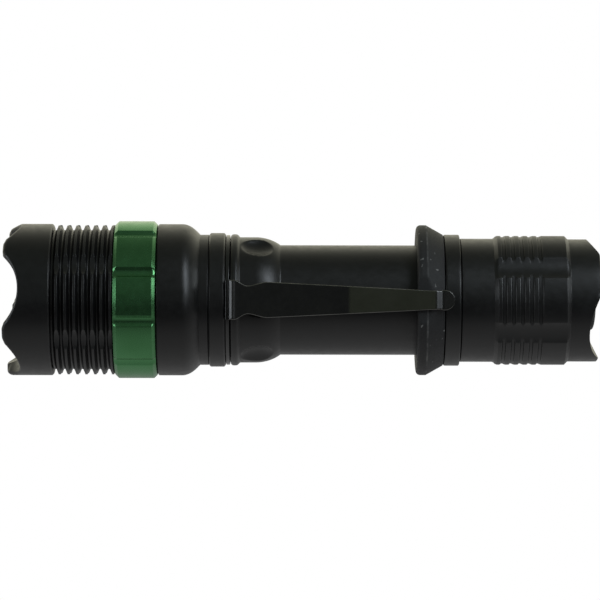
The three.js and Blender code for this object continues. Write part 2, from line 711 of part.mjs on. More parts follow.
function clipArm() {
  const depth = 2 * CLIP_ROOT_WIDTH;
  const side = new THREE.ExtrudeGeometry(clipSide(), { depth, bevelEnabled: false });
  side.translate(0, 0, -depth / 2);
  const plan = new THREE.ExtrudeGeometry(clipPlan(), { depth: RING_RADIUS, bevelEnabled: false });
  plan.rotateX(Math.PI / 2);
  return solidOf(side).intersect(solidOf(plan));
}

const batteryCell = () => turned(outlineOf(
  [CELL_START - CELL_BUTTON, 0],
  [CELL_START - CELL_BUTTON, CELL_BUTTON_RADIUS],
  [CELL_START, CELL_BUTTON_RADIUS],
  [CELL_START, CELL_RADIUS],
  [cellEnd, CELL_RADIUS],
  [cellEnd, 0],
), INNER_SIDES);

// ---------------------------------------------------------------- guard and tail
/** Rubber ring with a rim, a cone towards the tail, and a flat where the clip passes. */
function gripGuard() {
  const bore = TUBE_RADIUS + PLAY;
  const outline = new THREE.Path();
  outline.moveTo(GUARD_START, bore);
  outline.lineTo(GUARD_START, GUARD_RADIUS - GUARD_CORNER);
  outline.quadraticCurveTo(GUARD_START, GUARD_RADIUS, GUARD_START + GUARD_CORNER, GUARD_RADIUS);
  outline.lineTo(GUARD_RIDGE, GUARD_RADIUS);
  outline.lineTo(GUARD_END, GUARD_FOOT);
  outline.lineTo(GUARD_END, bore);
  const relief = new THREE.BoxGeometry(GUARD_RADIUS, GUARD_RADIUS, GUARD_RADIUS);
  relief.translate(GUARD_START, -GUARD_FLAT - GUARD_RADIUS / 2, 0);
  return turned(outline, OUTER_SIDES, 3).subtract(solidOf(relief));
}

const tailRing = () =>
  chamferedRing(TAIL_RING_START, TAIL_RING_END, REAR_SPIGOT + PLAY, TAIL_RING_RADIUS, EDGE_BREAK);

function tailCapOutline() {
  const threadBore = REAR_SPIGOT + PLAY;
  const moduleBore = MODULE_RADIUS + 2 * TOUCH;
  const outline = outlineOf(
    [CAP_START, threadBore],
    [CAP_START, CAP_NECK_RADIUS],
    [GRIP_START, CAP_NECK_RADIUS],
    [GRIP_START + GRIP_CHAMFER, GRIP_RADIUS],
  );
  for (let i = 0; i < GRIP_GROOVES; i += 1) {
    const start = GRIP_GROOVE_FIRST + i * GRIP_GROOVE_PITCH - GRIP_GROOVE_WIDTH / 2;
    outline.lineTo(start, GRIP_RADIUS);
    outline.lineTo(start, GRIP_RADIUS - GRIP_GROOVE_DEPTH);
    outline.lineTo(start + GRIP_GROOVE_WIDTH, GRIP_RADIUS - GRIP_GROOVE_DEPTH);
    outline.lineTo(start + GRIP_GROOVE_WIDTH, GRIP_RADIUS);
  }
  outline.lineTo(GRIP_END - GRIP_CHAMFER, GRIP_RADIUS);
  outline.lineTo(GRIP_END, TAIL_RADIUS);
  outline.lineTo(LENGTH - CAP_CORNER, TAIL_RADIUS);
  outline.quadraticCurveTo(LENGTH, TAIL_RADIUS, LENGTH, TAIL_RADIUS - CAP_CORNER);
  outline.lineTo(LENGTH, MOUTH_RADIUS);
  outline.lineTo(CAP_LIP_START + 2 * CAP_LIP_WIDTH, MOUTH_RADIUS);
  outline.lineTo(CAP_LIP_START + CAP_LIP_WIDTH, CAP_LIP_RADIUS);
  outline.lineTo(CAP_LIP_START, CAP_LIP_RADIUS);
  outline.lineTo(CAP_LIP_START, moduleBore);
  outline.lineTo(CAP_THREAD_END, moduleBore);
  outline.lineTo(CAP_THREAD_END, threadBore);
  return outline;
}

/** Screw cap with ring grooves, flutes and a scalloped shroud round the button. */
function tailCap() {
  const fluteStart = GRIP_START + GRIP_CHAMFER / 2;
  const flute = axialBar(fluteStart, GRIP_END + 1, CAP_FLUTE_RADIUS, CAP_FLUTE_FLOOR);
  const scallopCentre = LENGTH + SCALLOP_RADIUS - SCALLOP_DEPTH;
  const scallop = radialBar(scallopCentre, SCALLOP_RADIUS, 0, 2 * TAIL_RADIUS, OUTER_SIDES);
  return subtractAll(turned(tailCapOutline()), [
    ...spread(flute, CAP_FLUTES, CAP_FLUTE_ANGLE),
    ...spread(scallop, SCALLOP_COUNT, SCALLOP_ANGLE),
  ]);
}

/** Conical contact spring between the switch board and the cell. */
function tailSpring() {
  const path = new Helix({
    start: BOARD_START - SPRING_WIRE - 2 * TOUCH,
    end: cellEnd + SPRING_WIRE + 2 * TOUCH,
    startRadius: SPRING_FOOT,
    endRadius: SPRING_TIP,
    startAngle: 0,
    turn: 360 * SPRING_TURNS,
  });
  return wire(path, SPRING_WIRE, SMALL_SIDES * SPRING_TURNS, 6);
}

const switchRetainer = () =>
  ring(RETAINER_START, BOARD_START - 2 * TOUCH, RETAINER_BORE, MODULE_RADIUS, INNER_SIDES);
const switchBoard = () => disc(BOARD_START, BOARD_START + BOARD_THICKNESS, MODULE_RADIUS);

/** Click switch with a well that the plunger sinks into. */
function tailSwitch() {
  const box = new THREE.BoxGeometry(SWITCH_END - SWITCH_START, SWITCH_SIDE, SWITCH_SIDE);
  box.translate((SWITCH_START + SWITCH_END) / 2, 0, 0);
  const wellFloor = plungerStart - BUTTON_TRAVEL - 4 * TOUCH;
  const well = disc(wellFloor, SWITCH_END + 1, PLUNGER_RADIUS + 2 * PLAY, SMALL_SIDES);
  return solidOf(box).subtract(well);
}

const switchPlunger = () => disc(plungerStart, plungerEnd, PLUNGER_RADIUS, SMALL_SIDES);
const bootWasher = () =>
  ring(washerEnd - WASHER_THICKNESS, washerEnd, WASHER_BORE, MODULE_RADIUS, INNER_SIDES);

/** Rubber boot: flange under the cap's lip, domed button, post over the plunger. */
function switchBoot() {
  const postStart = plungerEnd + TOUCH;
  const roof = BOOT_TOP - 2 * BOOT_WALL;
  const outline = outlineOf(
    [postStart, 0],
    [postStart, BOOT_POST],
    [roof, BOOT_POST],
    [roof, BOOT_RADIUS - BOOT_WALL],
    [bootFlangeStart, BOOT_RADIUS - BOOT_WALL],
    [bootFlangeStart, BOOT_FLANGE],
    [bootFlangeEnd, BOOT_FLANGE],
    [bootFlangeEnd, BOOT_RADIUS],
    [BOOT_TOP - BOOT_EDGE, BOOT_RADIUS],
  );
  outline.bezierCurveTo(
    BOOT_TOP - BOOT_EDGE / 3, BOOT_RADIUS,
    BOOT_TOP - EDGE_BREAK, BOOT_RADIUS - BOOT_EDGE / 2,
    BOOT_TOP, 0,
  );
  return turned(outline, INNER_SIDES, 5);
}

// ---------------------------------------------------------------- assembly
const torch = new THREE.Group();
torch.position.set(-LENGTH / 2, 0, RING_RADIUS);

function place(name, solid, material) {
  const mesh = new THREE.Mesh(geometryOf(solid), material);
  mesh.name = name;
  torch.add(mesh);
}

place('strike_bezel', strikeBezel(), FINISH.blackAnodised());
place('front_window', frontWindow(), FINISH.glass());
place('window_gasket', windowGasket(), FINISH.rubber());
place('finned_head', finnedHead(), FINISH.blackAnodised());
place('focus_ring', focusRing(), FINISH.greenAnodised());
place('lens', lens(), FINISH.glass());
place('lens_carrier', lensCarrier(), FINISH.bareAluminium());
place('lens_retainer', lensRetainer(), FINISH.blackAnodised());
for (let i = 0; i < PIN_COUNT; i += 1) {
  place(`focus_pin_${i + 1}`, focusPin(i), FINISH.springSteel());
}
place('head_base', headBase(), FINISH.blackAnodised());
place('led_pill', ledPill(), FINISH.bareAluminium());
place('led_board', ledBoard(), FINISH.greenBoard());
place('led_emitter', ledEmitter(), FINISH.phosphor());
place('driver_board', driverBoard(), FINISH.greenBoard());
place('front_contact', frontContact(), FINISH.brass());
place('collar_ring', collarRing(), FINISH.blackAnodised());
place('clip_ring', clipRing(), FINISH.blackSteel());
place('clip_arm', clipArm(), FINISH.blackSteel());
place('battery_tube', batteryTube(), FINISH.blackAnodised());
place('front_o_ring', oRing(FRONT_SEAL, FRONT_SPIGOT), FINISH.rubber());
place('rear_o_ring', oRing(REAR_SEAL, REAR_SPIGOT), FINISH.rubber());
place('battery_cell', batteryCell(), FINISH.cellWrap());
place('grip_guard', gripGuard(), FINISH.rubber());
place('tail_ring', tailRing(), FINISH.blackAnodised());
place('tail_cap', tailCap(), FINISH.blackAnodised());
place('tail_spring', tailSpring(), FINISH.springSteel());
place('switch_retainer', switchRetainer(), FINISH.bareAluminium());
place('switch_board', switchBoard(), FINISH.greenBoard());
place('tail_switch', tailSwitch(), FINISH.blackPlastic());
place('switch_plunger', switchPlunger(), FINISH.blackPlastic());
place('boot_washer', bootWasher(), FINISH.bareAluminium());
place('switch_boot', switchBoot(), FINISH.rubber());

export default torch;
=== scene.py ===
"""Looks of the tactical flashlight: smooth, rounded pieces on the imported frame, and a plain studio.

Lengths are in millimetres until a mesh is made. x runs along the torch, r is the distance from its
axis, and angles round it are in degrees, counted from the clip side (-Y) upwards.
"""
import json
import math

import bmesh
import bpy
import numpy as np
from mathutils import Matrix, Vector


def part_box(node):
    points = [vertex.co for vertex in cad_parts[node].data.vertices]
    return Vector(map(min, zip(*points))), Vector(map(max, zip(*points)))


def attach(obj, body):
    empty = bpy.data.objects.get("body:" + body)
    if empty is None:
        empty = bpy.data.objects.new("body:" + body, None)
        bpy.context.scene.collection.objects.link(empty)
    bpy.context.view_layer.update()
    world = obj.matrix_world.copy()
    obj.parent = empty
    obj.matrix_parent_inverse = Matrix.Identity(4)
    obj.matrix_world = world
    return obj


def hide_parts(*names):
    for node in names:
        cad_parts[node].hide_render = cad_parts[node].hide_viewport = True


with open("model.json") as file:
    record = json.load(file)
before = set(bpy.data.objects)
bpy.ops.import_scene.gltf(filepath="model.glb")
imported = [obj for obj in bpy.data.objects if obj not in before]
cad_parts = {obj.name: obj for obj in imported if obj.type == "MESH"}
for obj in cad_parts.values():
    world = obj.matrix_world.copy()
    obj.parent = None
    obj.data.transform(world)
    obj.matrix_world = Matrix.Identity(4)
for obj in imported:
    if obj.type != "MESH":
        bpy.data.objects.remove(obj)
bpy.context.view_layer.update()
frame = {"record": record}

MM = 0.001
SHARP_ANGLE = 38  # steeper edges between faces stay sharp
BODY_OF = {node: body for body, nodes in frame["record"]["behaviour"]["bodies"].items() for node in nodes}


def span(node):
    """Start, end and radius of a turned CAD node."""
    low, high = (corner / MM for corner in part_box(node))
    return low.x, high.x, max(high.y, (high.z - low.z) / 2)


AXIS_HEIGHT = span("focus_ring")[2]
FRONT = span("strike_bezel")[0]
PIN_PLACE = sum(span("focus_pin_1")[:2]) / 2
CLIP_KINK, CLIP_DIP = FRONT + 77.3, FRONT + 96.6  # where the clip's painted reflection, an olive tone on the arm, starts and ends
GUARD_EDGE = span("grip_guard")[0] + 2.2


# ---------------------------------------------------------------- outlines
# Most of a straight side that one corner's fillet may take, and its holding point beyond the fillet.
FILLET_SHARE, HOLD_SHARE = 0.42, 0.08


def rounded(corners, closed=True, steps=3):
    """Outline through (x, r, fillet) corners: each fillet is an arc between two holding points."""
    points = []
    last = len(corners) - 1
    for i, (x, r, fillet) in enumerate(corners):
        here = np.array((x, r))
        if fillet == 0 or (not closed and i in (0, last)):
            points.append(here)
            continue
        before = np.array(corners[i - 1][:2]) - here
        after = np.array(corners[(i + 1) % len(corners)][:2]) - here
        long_before, long_after = np.linalg.norm(before), np.linalg.norm(after)
        before, after = before / long_before, after / long_after
        half = math.acos(max(-1.0, min(1.0, float(before @ after)))) / 2
        shorter = min(long_before, long_after)
        reach = min(fillet / math.tan(half), FILLET_SHARE * shorter)
        hold = min(reach, HOLD_SHARE * shorter)
        points.append(here + before * (reach + hold))
        turn = math.pi - 2 * half
        if turn < 0.01:
            points += [here + before * reach * (1 - k / steps) for k in range(steps + 1)]
            points.append(here + after * (reach + hold))
            continue
        bow = here + (before + after) / np.linalg.norm(before + after) * reach / math.cos(half)
        start, end = here + before * reach - bow, here + after * reach - bow
        for k in range(steps + 1):
            share = k / steps
            weights = math.sin((1 - share) * turn), math.sin(share * turn)
            points.append(bow + (start * weights[0] + end * weights[1]) / math.sin(turn))
        points.append(here + after * (reach + hold))
    return np.array(points)


def bezier(start, pull_start, pull_end, end, steps=8):
    """Points of a smooth shoulder, as corners without a fillet."""
    t = np.linspace(0, 1, steps + 1)[:, None]
    curve = (
        (1 - t) ** 3 * np.array(start)
        + 3 * (1 - t) ** 2 * t * np.array(pull_start)
        + 3 * (1 - t) * t**2 * np.array(pull_end)
        + t**3 * np.array(end)
    )
    return [(x, r, 0) for x, r in curve]


def arc(centre, radius, start, end, steps):
    """Points round a circle, between two angles counted from the x axis."""
    angles = np.radians(np.linspace(start, end, steps + 1))
    return [(centre[0] + radius * math.cos(a), centre[1] + radius * math.sin(a)) for a in angles]


def resampled(outline, longest, closed=True):
    """The same outline with no straight run longer than the given length."""
    ends = np.roll(outline, -1, axis=0) if closed else outline[1:]
    points = []
    for start, end in zip(outline, ends):
        pieces = max(1, math.ceil(np.linalg.norm(end - start) / longest))
        points += [start + (end - start) * k / pieces for k in range(pieces)]
    if not closed:
        points.append(outline[-1])
    return np.array(points)


def soft_min(a, b, blend):
    """The smaller of two values, with the crease between them rounded."""
    share = np.clip(0.5 + 0.5 * (b - a) / blend, 0, 1)
    return b + (a - b) * share - blend * share * (1 - share)


def soft_max(a, b, blend):
    """The larger of two values, with the crease between them rounded."""
    return -soft_min(-a, -b, blend)


def nearest(angle, first, count):
    """Degrees from an angle to the nearest of a row of features spread round the axis."""
    pitch = 360 / count
    return (angle - first + pitch / 2) % pitch - pitch / 2


def flute(offset, floor, radius):
    """Distance from the axis to a round flute's wall, at degrees from its middle."""
    turn = math.radians(offset)
    centre = floor + radius
    inside = radius**2 - (centre * math.sin(turn)) ** 2
    return centre * math.cos(turn) - math.sqrt(inside) if inside > 0 else centre


def angles_near(edges, coarse=3.0, fine=0.4, reach=4):
    """Angles all round the axis: an even spread, and more of them at each named edge."""
    even = np.arange(0, 360, coarse)
    near = np.add.outer(np.asarray(edges, float), fine * np.arange(-reach, reach + 1)).ravel() % 360
    kept = [a for a in even if not len(near) or np.min(np.abs((near - a + 180) % 360 - 180)) > fine / 2]
    both = np.sort(np.concatenate([kept, near]))
    return both[np.append(True, np.diff(both) > fine / 4)]


# ---------------------------------------------------------------- meshes
def smoothed(mesh):
    """The mesh shaded smooth, with its steep edges kept sharp."""
    mesh.shade_smooth()
    mesh.set_sharp_from_angle(angle=math.radians(SHARP_ANGLE))
    return mesh


def mesh_of(name, points, faces):
    """A clean mesh in metres with outward faces, shaded smooth over small angles only."""
    mesh = bpy.data.meshes.new(name)
    mesh.from_pydata((np.asarray(points) * MM).tolist(), [], faces)
    work = bmesh.new()
    work.from_mesh(mesh)
    bmesh.ops.remove_doubles(work, verts=work.verts, dist=0.0005 * MM)
    bmesh.ops.dissolve_degenerate(work, edges=work.edges, dist=0.0002 * MM)
    bmesh.ops.recalc_face_normals(work, faces=work.faces)
    work.to_mesh(mesh)
    work.free()
    return smoothed(mesh)


def grid_faces(rows, columns, rows_close, columns_close):
    """Quads between the points of a grid, closed round either way."""
    i = np.arange(rows if rows_close else rows - 1)[:, None]
    j = np.arange(columns if columns_close else columns - 1)[None, :]
    i_next, j_next = (i + 1) % rows, (j + 1) % columns
    quads = np.stack([
        i * columns + j,
        i * columns + j_next,
        i_next * columns + j_next,
        i_next * columns + j,
    ], axis=-1)
    return quads.reshape(-1, 4).tolist()


def on_torch(x, r, angle):
    """Points in the frame from places along, off and round the axis."""
    turn = np.radians(angle)
    return np.stack([x, -r * np.cos(turn), AXIS_HEIGHT + r * np.sin(turn)], axis=-1)


def revolved(name, outline_at, angles):
    """Mesh of the outlines that outline_at gives round the axis."""
    rows = [outline_at(angle) for angle in angles]
    points = np.concatenate([on_torch(row[:, 0], row[:, 1], angle) for row, angle in zip(rows, angles)])
    closed = min(rows[0][0, 1], rows[0][-1, 1]) > 0
    return mesh_of(name, points, grid_faces(len(rows), len(rows[0]), True, closed))


def turned(name, corners, sides=128):
    """Mesh of one outline revolved; it may start and end on the axis."""
    closed = min(corners[0][1], corners[-1][1]) > 0
    outline = rounded(corners, closed)
    return revolved(name, lambda angle: outline, np.arange(sides) * 360 / sides)


def tube(start, end, inner, outer, fillet=0.15):
    """Corners of a plain tube or ring."""
    return [(start, inner, fillet), (end, inner, fillet), (end, outer, fillet), (start, outer, fillet)]


def rod(start, end, radius, fillet=0.15):
    """Corners of a plain rod or disc."""
    return [(start, 0, 0), (start, radius, fillet), (end, radius, fillet), (end, 0, 0)]


def swept(name, path, radius, sides=12):
    """Round wire along a path, with rounded ends."""
    path = np.asarray(path, float)
    tangents = np.gradient(path, axis=0)
    tangents /= np.linalg.norm(tangents, axis=1)[:, None]
    across = np.cross(tangents, (1.0, 0.0, 0.0))
    across /= np.linalg.norm(across, axis=1)[:, None]
    up = np.cross(tangents, across)
    turns = np.arange(sides) * 2 * math.pi / sides
    section = across[:, None] * np.cos(turns)[None, :, None] + up[:, None] * np.sin(turns)[None, :, None]
    rings = [path[0] - tangents[0] * radius * 0.6 + section[0] * radius * 0.6]
    rings += [point + radius * section[i] for i, point in enumerate(path)]
    rings.append(path[-1] + tangents[-1] * radius * 0.6 + section[-1] * radius * 0.6)
    faces = grid_faces(len(rings), sides, False, True)
    count = len(rings) * sides
    faces += [list(range(sides)), list(range(count - sides, count))]
    return mesh_of(name, np.concatenate(rings), faces)


def block(name, low, high, fillet=0.3):
    """Box between two corners with rounded edges."""
    low, high = np.array(low, float), np.array(high, float)
    corners = [low + (high - low) * np.array([i, j, k]) for i in (0, 1) for j in (0, 1) for k in (0, 1)]
    mesh = mesh_of(name, corners, [
        (0, 1, 3, 2), (4, 6, 7, 5), (0, 4, 5, 1), (2, 3, 7, 6), (0, 2, 6, 4), (1, 5, 7, 3),
    ])
    work = bmesh.new()
    work.from_mesh(mesh)
    bmesh.ops.bevel(work, geom=work.edges, offset=fillet * MM, segments=3, profile=0.5, affect="EDGES")
    work.to_mesh(mesh)
    work.free()
    return smoothed(mesh)


def placed(name, data):
    """New object in the scene."""
    thing = bpy.data.objects.new(name, data)
    bpy.context.scene.collection.objects.link(thing)
    return thing


def cut(mesh, *cutters, operation="DIFFERENCE"):
    """The mesh with other meshes cut out of it or joined to it."""
    body = placed("work", mesh)
    tools = []
    for cutter in cutters:
        tool = placed("cutter", cutter)
        tools.append(tool)
        modifier = body.modifiers.new("cut", "BOOLEAN")
        modifier.operation = operation
        modifier.solver = "EXACT"
        modifier.object = tool
    bpy.context.view_layer.update()
    graph = bpy.context.evaluated_depsgraph_get()
    result = bpy.data.meshes.new_from_object(body.evaluated_get(graph))
    for thing in [body, *tools]:
        bpy.data.objects.remove(thing)
    return smoothed(result)


def spread(make, count, first):
    """Meshes of one shape at equal angles round the axis."""
    return [make(first + i * 360 / count) for i in range(count)]


def turned_about_axis(mesh, angle):
    """The mesh, made at the clip side, moved round the axis."""
    turn = math.radians(angle)
    for vertex in mesh.vertices:
        x, y, z = vertex.co
        z -= AXIS_HEIGHT * MM
        vertex.co = (x, y * math.cos(turn) + z * math.sin(turn),
                     -y * math.sin(turn) + z * math.cos(turn) + AXIS_HEIGHT * MM)
    return mesh


def add(node, mesh, *materials):
    """Puts a finished mesh on the torch in place of its CAD node."""
    piece = placed(f"{node}_look", mesh)
    mesh.materials.clear()
    for material in materials:
        mesh.materials.append(material)
    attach(piece, BODY_OF[node])
    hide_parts(node)
    return piece


def add_turned(node, corners, *materials, sides=128):
    """Puts a plainly turned piece on the torch in place of its CAD node."""
    return add(node, turned(node, corners, sides), *materials)


def paint(piece, index, chosen):
    """Gives a piece's other material to the faces whose centre passes a test, in millimetres."""
    for face in piece.data.polygons:
        x, y, z = face.center / MM
        if chosen(x, math.hypot(y, z - AXIS_HEIGHT)):
            face.material_index = index


# ---------------------------------------------------------------- materials
def gradient(nodes, stops):
    """Colour ramp through (position, colour) stops."""
    ramp = nodes.new("ShaderNodeValToRGB")
    elements = ramp.color_ramp.elements
    while len(elements) < len(stops):
        elements.new(0.5)
    for element, (position, colour) in zip(elements, stops):
        element.position = position
        element.color = (*colour, 1)
    return ramp


class Shader:
    """One procedural material, built on the Principled shader in object space."""

    def __init__(self, name, **constants):
        self.material = bpy.data.materials.new(name)
        self.material.use_nodes = True
        self.nodes = self.material.node_tree.nodes
        self.links = self.material.node_tree.links
        self.shader = self.nodes["Principled BSDF"]
        self.place = self.nodes.new("ShaderNodeTexCoord").outputs["Object"]
        self.height = None
        for socket, value in constants.items():
            self.shader.inputs[socket.replace("_", " ").title().replace("Ior", "IOR")].default_value = value

    def noise(self, scale, detail=2.0, stretch=(1, 1, 1)):
        """Noise with features about 1 / scale metres across."""
        mapping = self.nodes.new("ShaderNodeMapping")
        mapping.inputs["Scale"].default_value = stretch
        noise = self.nodes.new("ShaderNodeTexNoise")
        noise.inputs["Scale"].default_value = scale
        noise.inputs["Detail"].default_value = detail
        self.links.new(self.place, mapping.inputs["Vector"])
        self.links.new(mapping.outputs["Vector"], noise.inputs["Vector"])
        return noise.outputs["Fac"]

    def remap(self, value, low, high, to_low, to_high):
        remap = self.nodes.new("ShaderNodeMapRange")
        limits = {"From Min": low, "From Max": high, "To Min": to_low, "To Max": to_high}
        for socket, limit in limits.items():
            remap.inputs[socket].default_value = limit
        self.links.new(value, remap.inputs["Value"])
        return remap.outputs["Result"]

    def colours(self, value, *stops):
        """Colour from a value, through (position, colour) stops."""
        ramp = gradient(self.nodes, stops)
        self.links.new(value, ramp.inputs["Fac"])
        return ramp.outputs["Color"]

    def stripe(self, rise_start, rise_end, fall_start, fall_end):
        """Value that is 1 on a stretch along the torch and 0 before and after it, in millimetres."""
        parts = self.nodes.new("ShaderNodeSeparateXYZ")
        self.links.new(self.place, parts.inputs[0])
        rise = self.remap(parts.outputs["X"], rise_start * MM, rise_end * MM, 0, 1)
        fall = self.remap(parts.outputs["X"], fall_start * MM, fall_end * MM, 1, 0)
        return self.maths("MINIMUM", rise, fall)

    def maths(self, operation, first, second):
        node = self.nodes.new("ShaderNodeMath")
        node.operation = operation
        self.links.new(first, node.inputs[0])
        self.links.new(second, node.inputs[1])
        return node.outputs[0]

    def blend(self, factor, first, second):
        """Colour from the first to the second, an output or a plain colour, as the factor goes 0 to 1."""
        mixed = self.nodes.new("ShaderNodeMix")
        mixed.data_type = "RGBA"
        self.links.new(factor, mixed.inputs["Factor"])
        self.links.new(first, mixed.inputs[6])
        if isinstance(second, tuple):
            mixed.inputs[7].default_value = (*second, 1)
        else:
            self.links.new(second, mixed.inputs[7])
        return mixed.outputs[2]

    def drive(self, socket, value):
        self.links.new(value, self.shader.inputs[socket])
        return self

    def bump(self, value, depth):
        """Adds relief of the given depth, in millimetres."""
        bump = self.nodes.new("ShaderNodeBump")
        bump.inputs["Distance"].default_value = depth * MM
        self.links.new(value, bump.inputs["Height"])
        if self.height is not None:
            self.links.new(self.height, bump.inputs["Normal"])
        self.height = bump.outputs["Normal"]
        self.links.new(self.height, self.shader.inputs["Normal"])
        return self


def anodised(name, dark, light, metallic, roughness, ior):
    """Dyed anodised aluminium: blasted grain, faint turning lines, slightly uneven dye."""
    made = Shader(name, metallic=metallic, ior=ior)
    cloud = made.noise(90)
    blast = made.noise(6500, 1.0)
    made.drive("Base Color", made.colours(cloud, (0.35, dark), (0.65, light)))
    made.drive("Roughness", made.remap(made.noise(700), 0.3, 0.7, roughness - 0.04, roughness + 0.04))
    made.bump(blast, 0.006)
    made.bump(made.noise(1, 1.0, stretch=(5200, 14, 14)), 0.002)
    return made.material


DUST = (0.34, 0.34, 0.33)


def rubber(name, dark, light, roughness, specks, worn_edge=None):
    """Moulded rubber or plastic with a matte grain, pale specks of dust and perhaps a worn edge."""
    made = Shader(name, ior=1.5)
    grain = made.noise(2600, 3.0)
    dust = made.remap(made.noise(800, 1.0), 0.72, 0.76, 0.0, specks)
    if worn_edge is not None:
        band = made.stripe(worn_edge - 0.3, worn_edge, worn_edge, worn_edge + 0.25)
        wear = made.remap(made.noise(350, 3.0), 0.4, 0.75, 0.0, 0.5)
        dust = made.maths("MAXIMUM", dust, made.maths("MULTIPLY", band, wear))
    base = made.colours(made.noise(160), (0.3, dark), (0.7, light))
    made.drive("Base Color", made.blend(dust, base, DUST))
    made.drive("Roughness", made.remap(grain, 0.3, 0.7, roughness - 0.08, roughness + 0.08))
    made.bump(grain, 0.02)
    return made.material


def metal(name, dark, light, roughness, stretch=(1, 1, 1), grain=0.004, metallic=1.0):
    """Plain or painted metal with a fine, possibly drawn, grain."""
    made = Shader(name, metallic=metallic)
    lines = made.noise(900, 3.0, stretch)
    made.drive("Base Color", made.colours(made.noise(200), (0.3, dark), (0.7, light)))
    made.drive("Roughness", made.remap(lines, 0.3, 0.7, roughness - 0.05, roughness + 0.05))
    made.bump(lines, grain)
    return made.material


def clip_paint_and_reflection(name):
    """Clip's dark paint, with a painted reflection on the long arm between its kink and its dip: an olive
    tone standing in for what the flat arm mirrors.
    """
    made = Shader(name, ior=1.8)
    cloud = made.noise(200)
    dark = made.colours(cloud, (0.3, (0.008, 0.008, 0.008)), (0.7, (0.012, 0.012, 0.011)))
    # painted reflection: olive colour standing in for what the flat arm mirrors
    painted_reflection = made.colours(cloud, (0.3, (0.034, 0.036, 0.023)), (0.7, (0.044, 0.046, 0.031)))
    # stretch of the arm that gets the painted reflection, from the kink to the dip
    arm = made.stripe(CLIP_KINK, CLIP_KINK + 0.7, CLIP_DIP, CLIP_DIP + 0.7)
    made.drive("Base Color", made.blend(arm, dark, painted_reflection))
    grain = made.noise(900, 3.0)
    made.drive("Roughness", made.remap(grain, 0.3, 0.7, 0.18, 0.24))
    made.bump(grain, 0.003)
    return made.material


def glass(name, tint, ior):
    """Clear optical glass with the faintest smudges."""
    made = Shader(name, base_color=(*tint, 1), ior=ior, transmission_weight=1.0)
    made.drive("Roughness", made.remap(made.noise(150), 0.4, 0.8, 0.0, 0.03))
    return made.material


def board(name):
    """Green solder mask with a weave under it."""
    made = Shader(name, ior=1.55)
    weave = made.noise(3000, 1.0)
    made.drive("Base Color", made.colours(weave, (0.35, (0.008, 0.07, 0.025)), (0.65, (0.012, 0.11, 0.04))))
    made.drive("Roughness", made.remap(weave, 0.3, 0.7, 0.3, 0.42))
    made.bump(weave, 0.01)
    return made.material


def phosphor(name):
    """Yellow phosphor under clear silicone."""
    made = Shader(name, ior=1.41, coat_weight=1.0, coat_roughness=0.05)
    cells = made.noise(2500, 1.0)
    made.drive("Base Color", made.colours(cells, (0.3, (0.75, 0.55, 0.05)), (0.7, (0.85, 0.68, 0.1))))
    made.drive("Roughness", made.remap(cells, 0.3, 0.7, 0.3, 0.5))
    return made.material


BLACK = anodised("anodised_black", (0.0055, 0.0056, 0.0058), (0.0085, 0.0086, 0.0088), 0.0, 0.36, 1.6)
GREEN = anodised("anodised_green", (0.095, 0.29, 0.115), (0.115, 0.33, 0.14), 0.92, 0.26, 1.6)
ALUMINIUM = metal("bare_aluminium", (0.62, 0.63, 0.64), (0.72, 0.73, 0.74), 0.3, (6, 1, 1))
# clip's dark paint, with a painted reflection on its arm
CLIP_PAINT_AND_REFLECTION = clip_paint_and_reflection("clip_steel")
CLIP_WEAR = metal("clip_wear", (0.16, 0.16, 0.15), (0.24, 0.24, 0.23), 0.35, grain=0.003)
GUARD_RUBBER = rubber("guard_rubber", (0.017, 0.017, 0.018), (0.024, 0.024, 0.025), 0.62, 0.6, GUARD_EDGE)
BOOT_RUBBER = rubber("boot_rubber", (0.012, 0.012, 0.012), (0.018, 0.018, 0.018), 0.6, 0.15)
SEAL_RUBBER = rubber("seal_rubber", (0.01, 0.01, 0.01), (0.016, 0.016, 0.016), 0.45, 0.0)
WINDOW_GLASS = glass("window_glass", (0.98, 1.0, 0.99), 1.5)
LENS_GLASS = glass("lens_glass", (1.0, 1.0, 1.0), 1.49)
PHOSPHOR = phosphor("led_phosphor")
BOARD = board("circuit_board")
BRASS = metal("contact_brass", (0.72, 0.5, 0.18), (0.82, 0.6, 0.26), 0.25)
SPRING = metal("spring_steel", (0.6, 0.6, 0.61), (0.7, 0.7, 0.72), 0.22)
WRAP = rubber("cell_wrap", (0.02, 0.09, 0.26), (0.025, 0.11, 0.3), 0.3, 0.0)
PLASTIC = rubber("switch_plastic", (0.014, 0.014, 0.015), (0.02, 0.02, 0.021), 0.45, 0.0)


# Bores that the tube's spigots screw into, in the head base and collars and in the tail cap.
FRONT_BORE, REAR_BORE = 12.75, 12.15


# ---------------------------------------------------------------- head
NOTCHES, NOTCH_ANGLE, NOTCH_RADIUS, NOTCH_DEPTH = 5, 8.5, 10.2, 3.55
BEZEL_LIP, BEZEL_LIP_PLACE, BEZEL_LIP_WIDTH, BEZEL_BORE, BEZEL_FLARE = 13.2, 3.8, 1.0, 15.3, 1.5


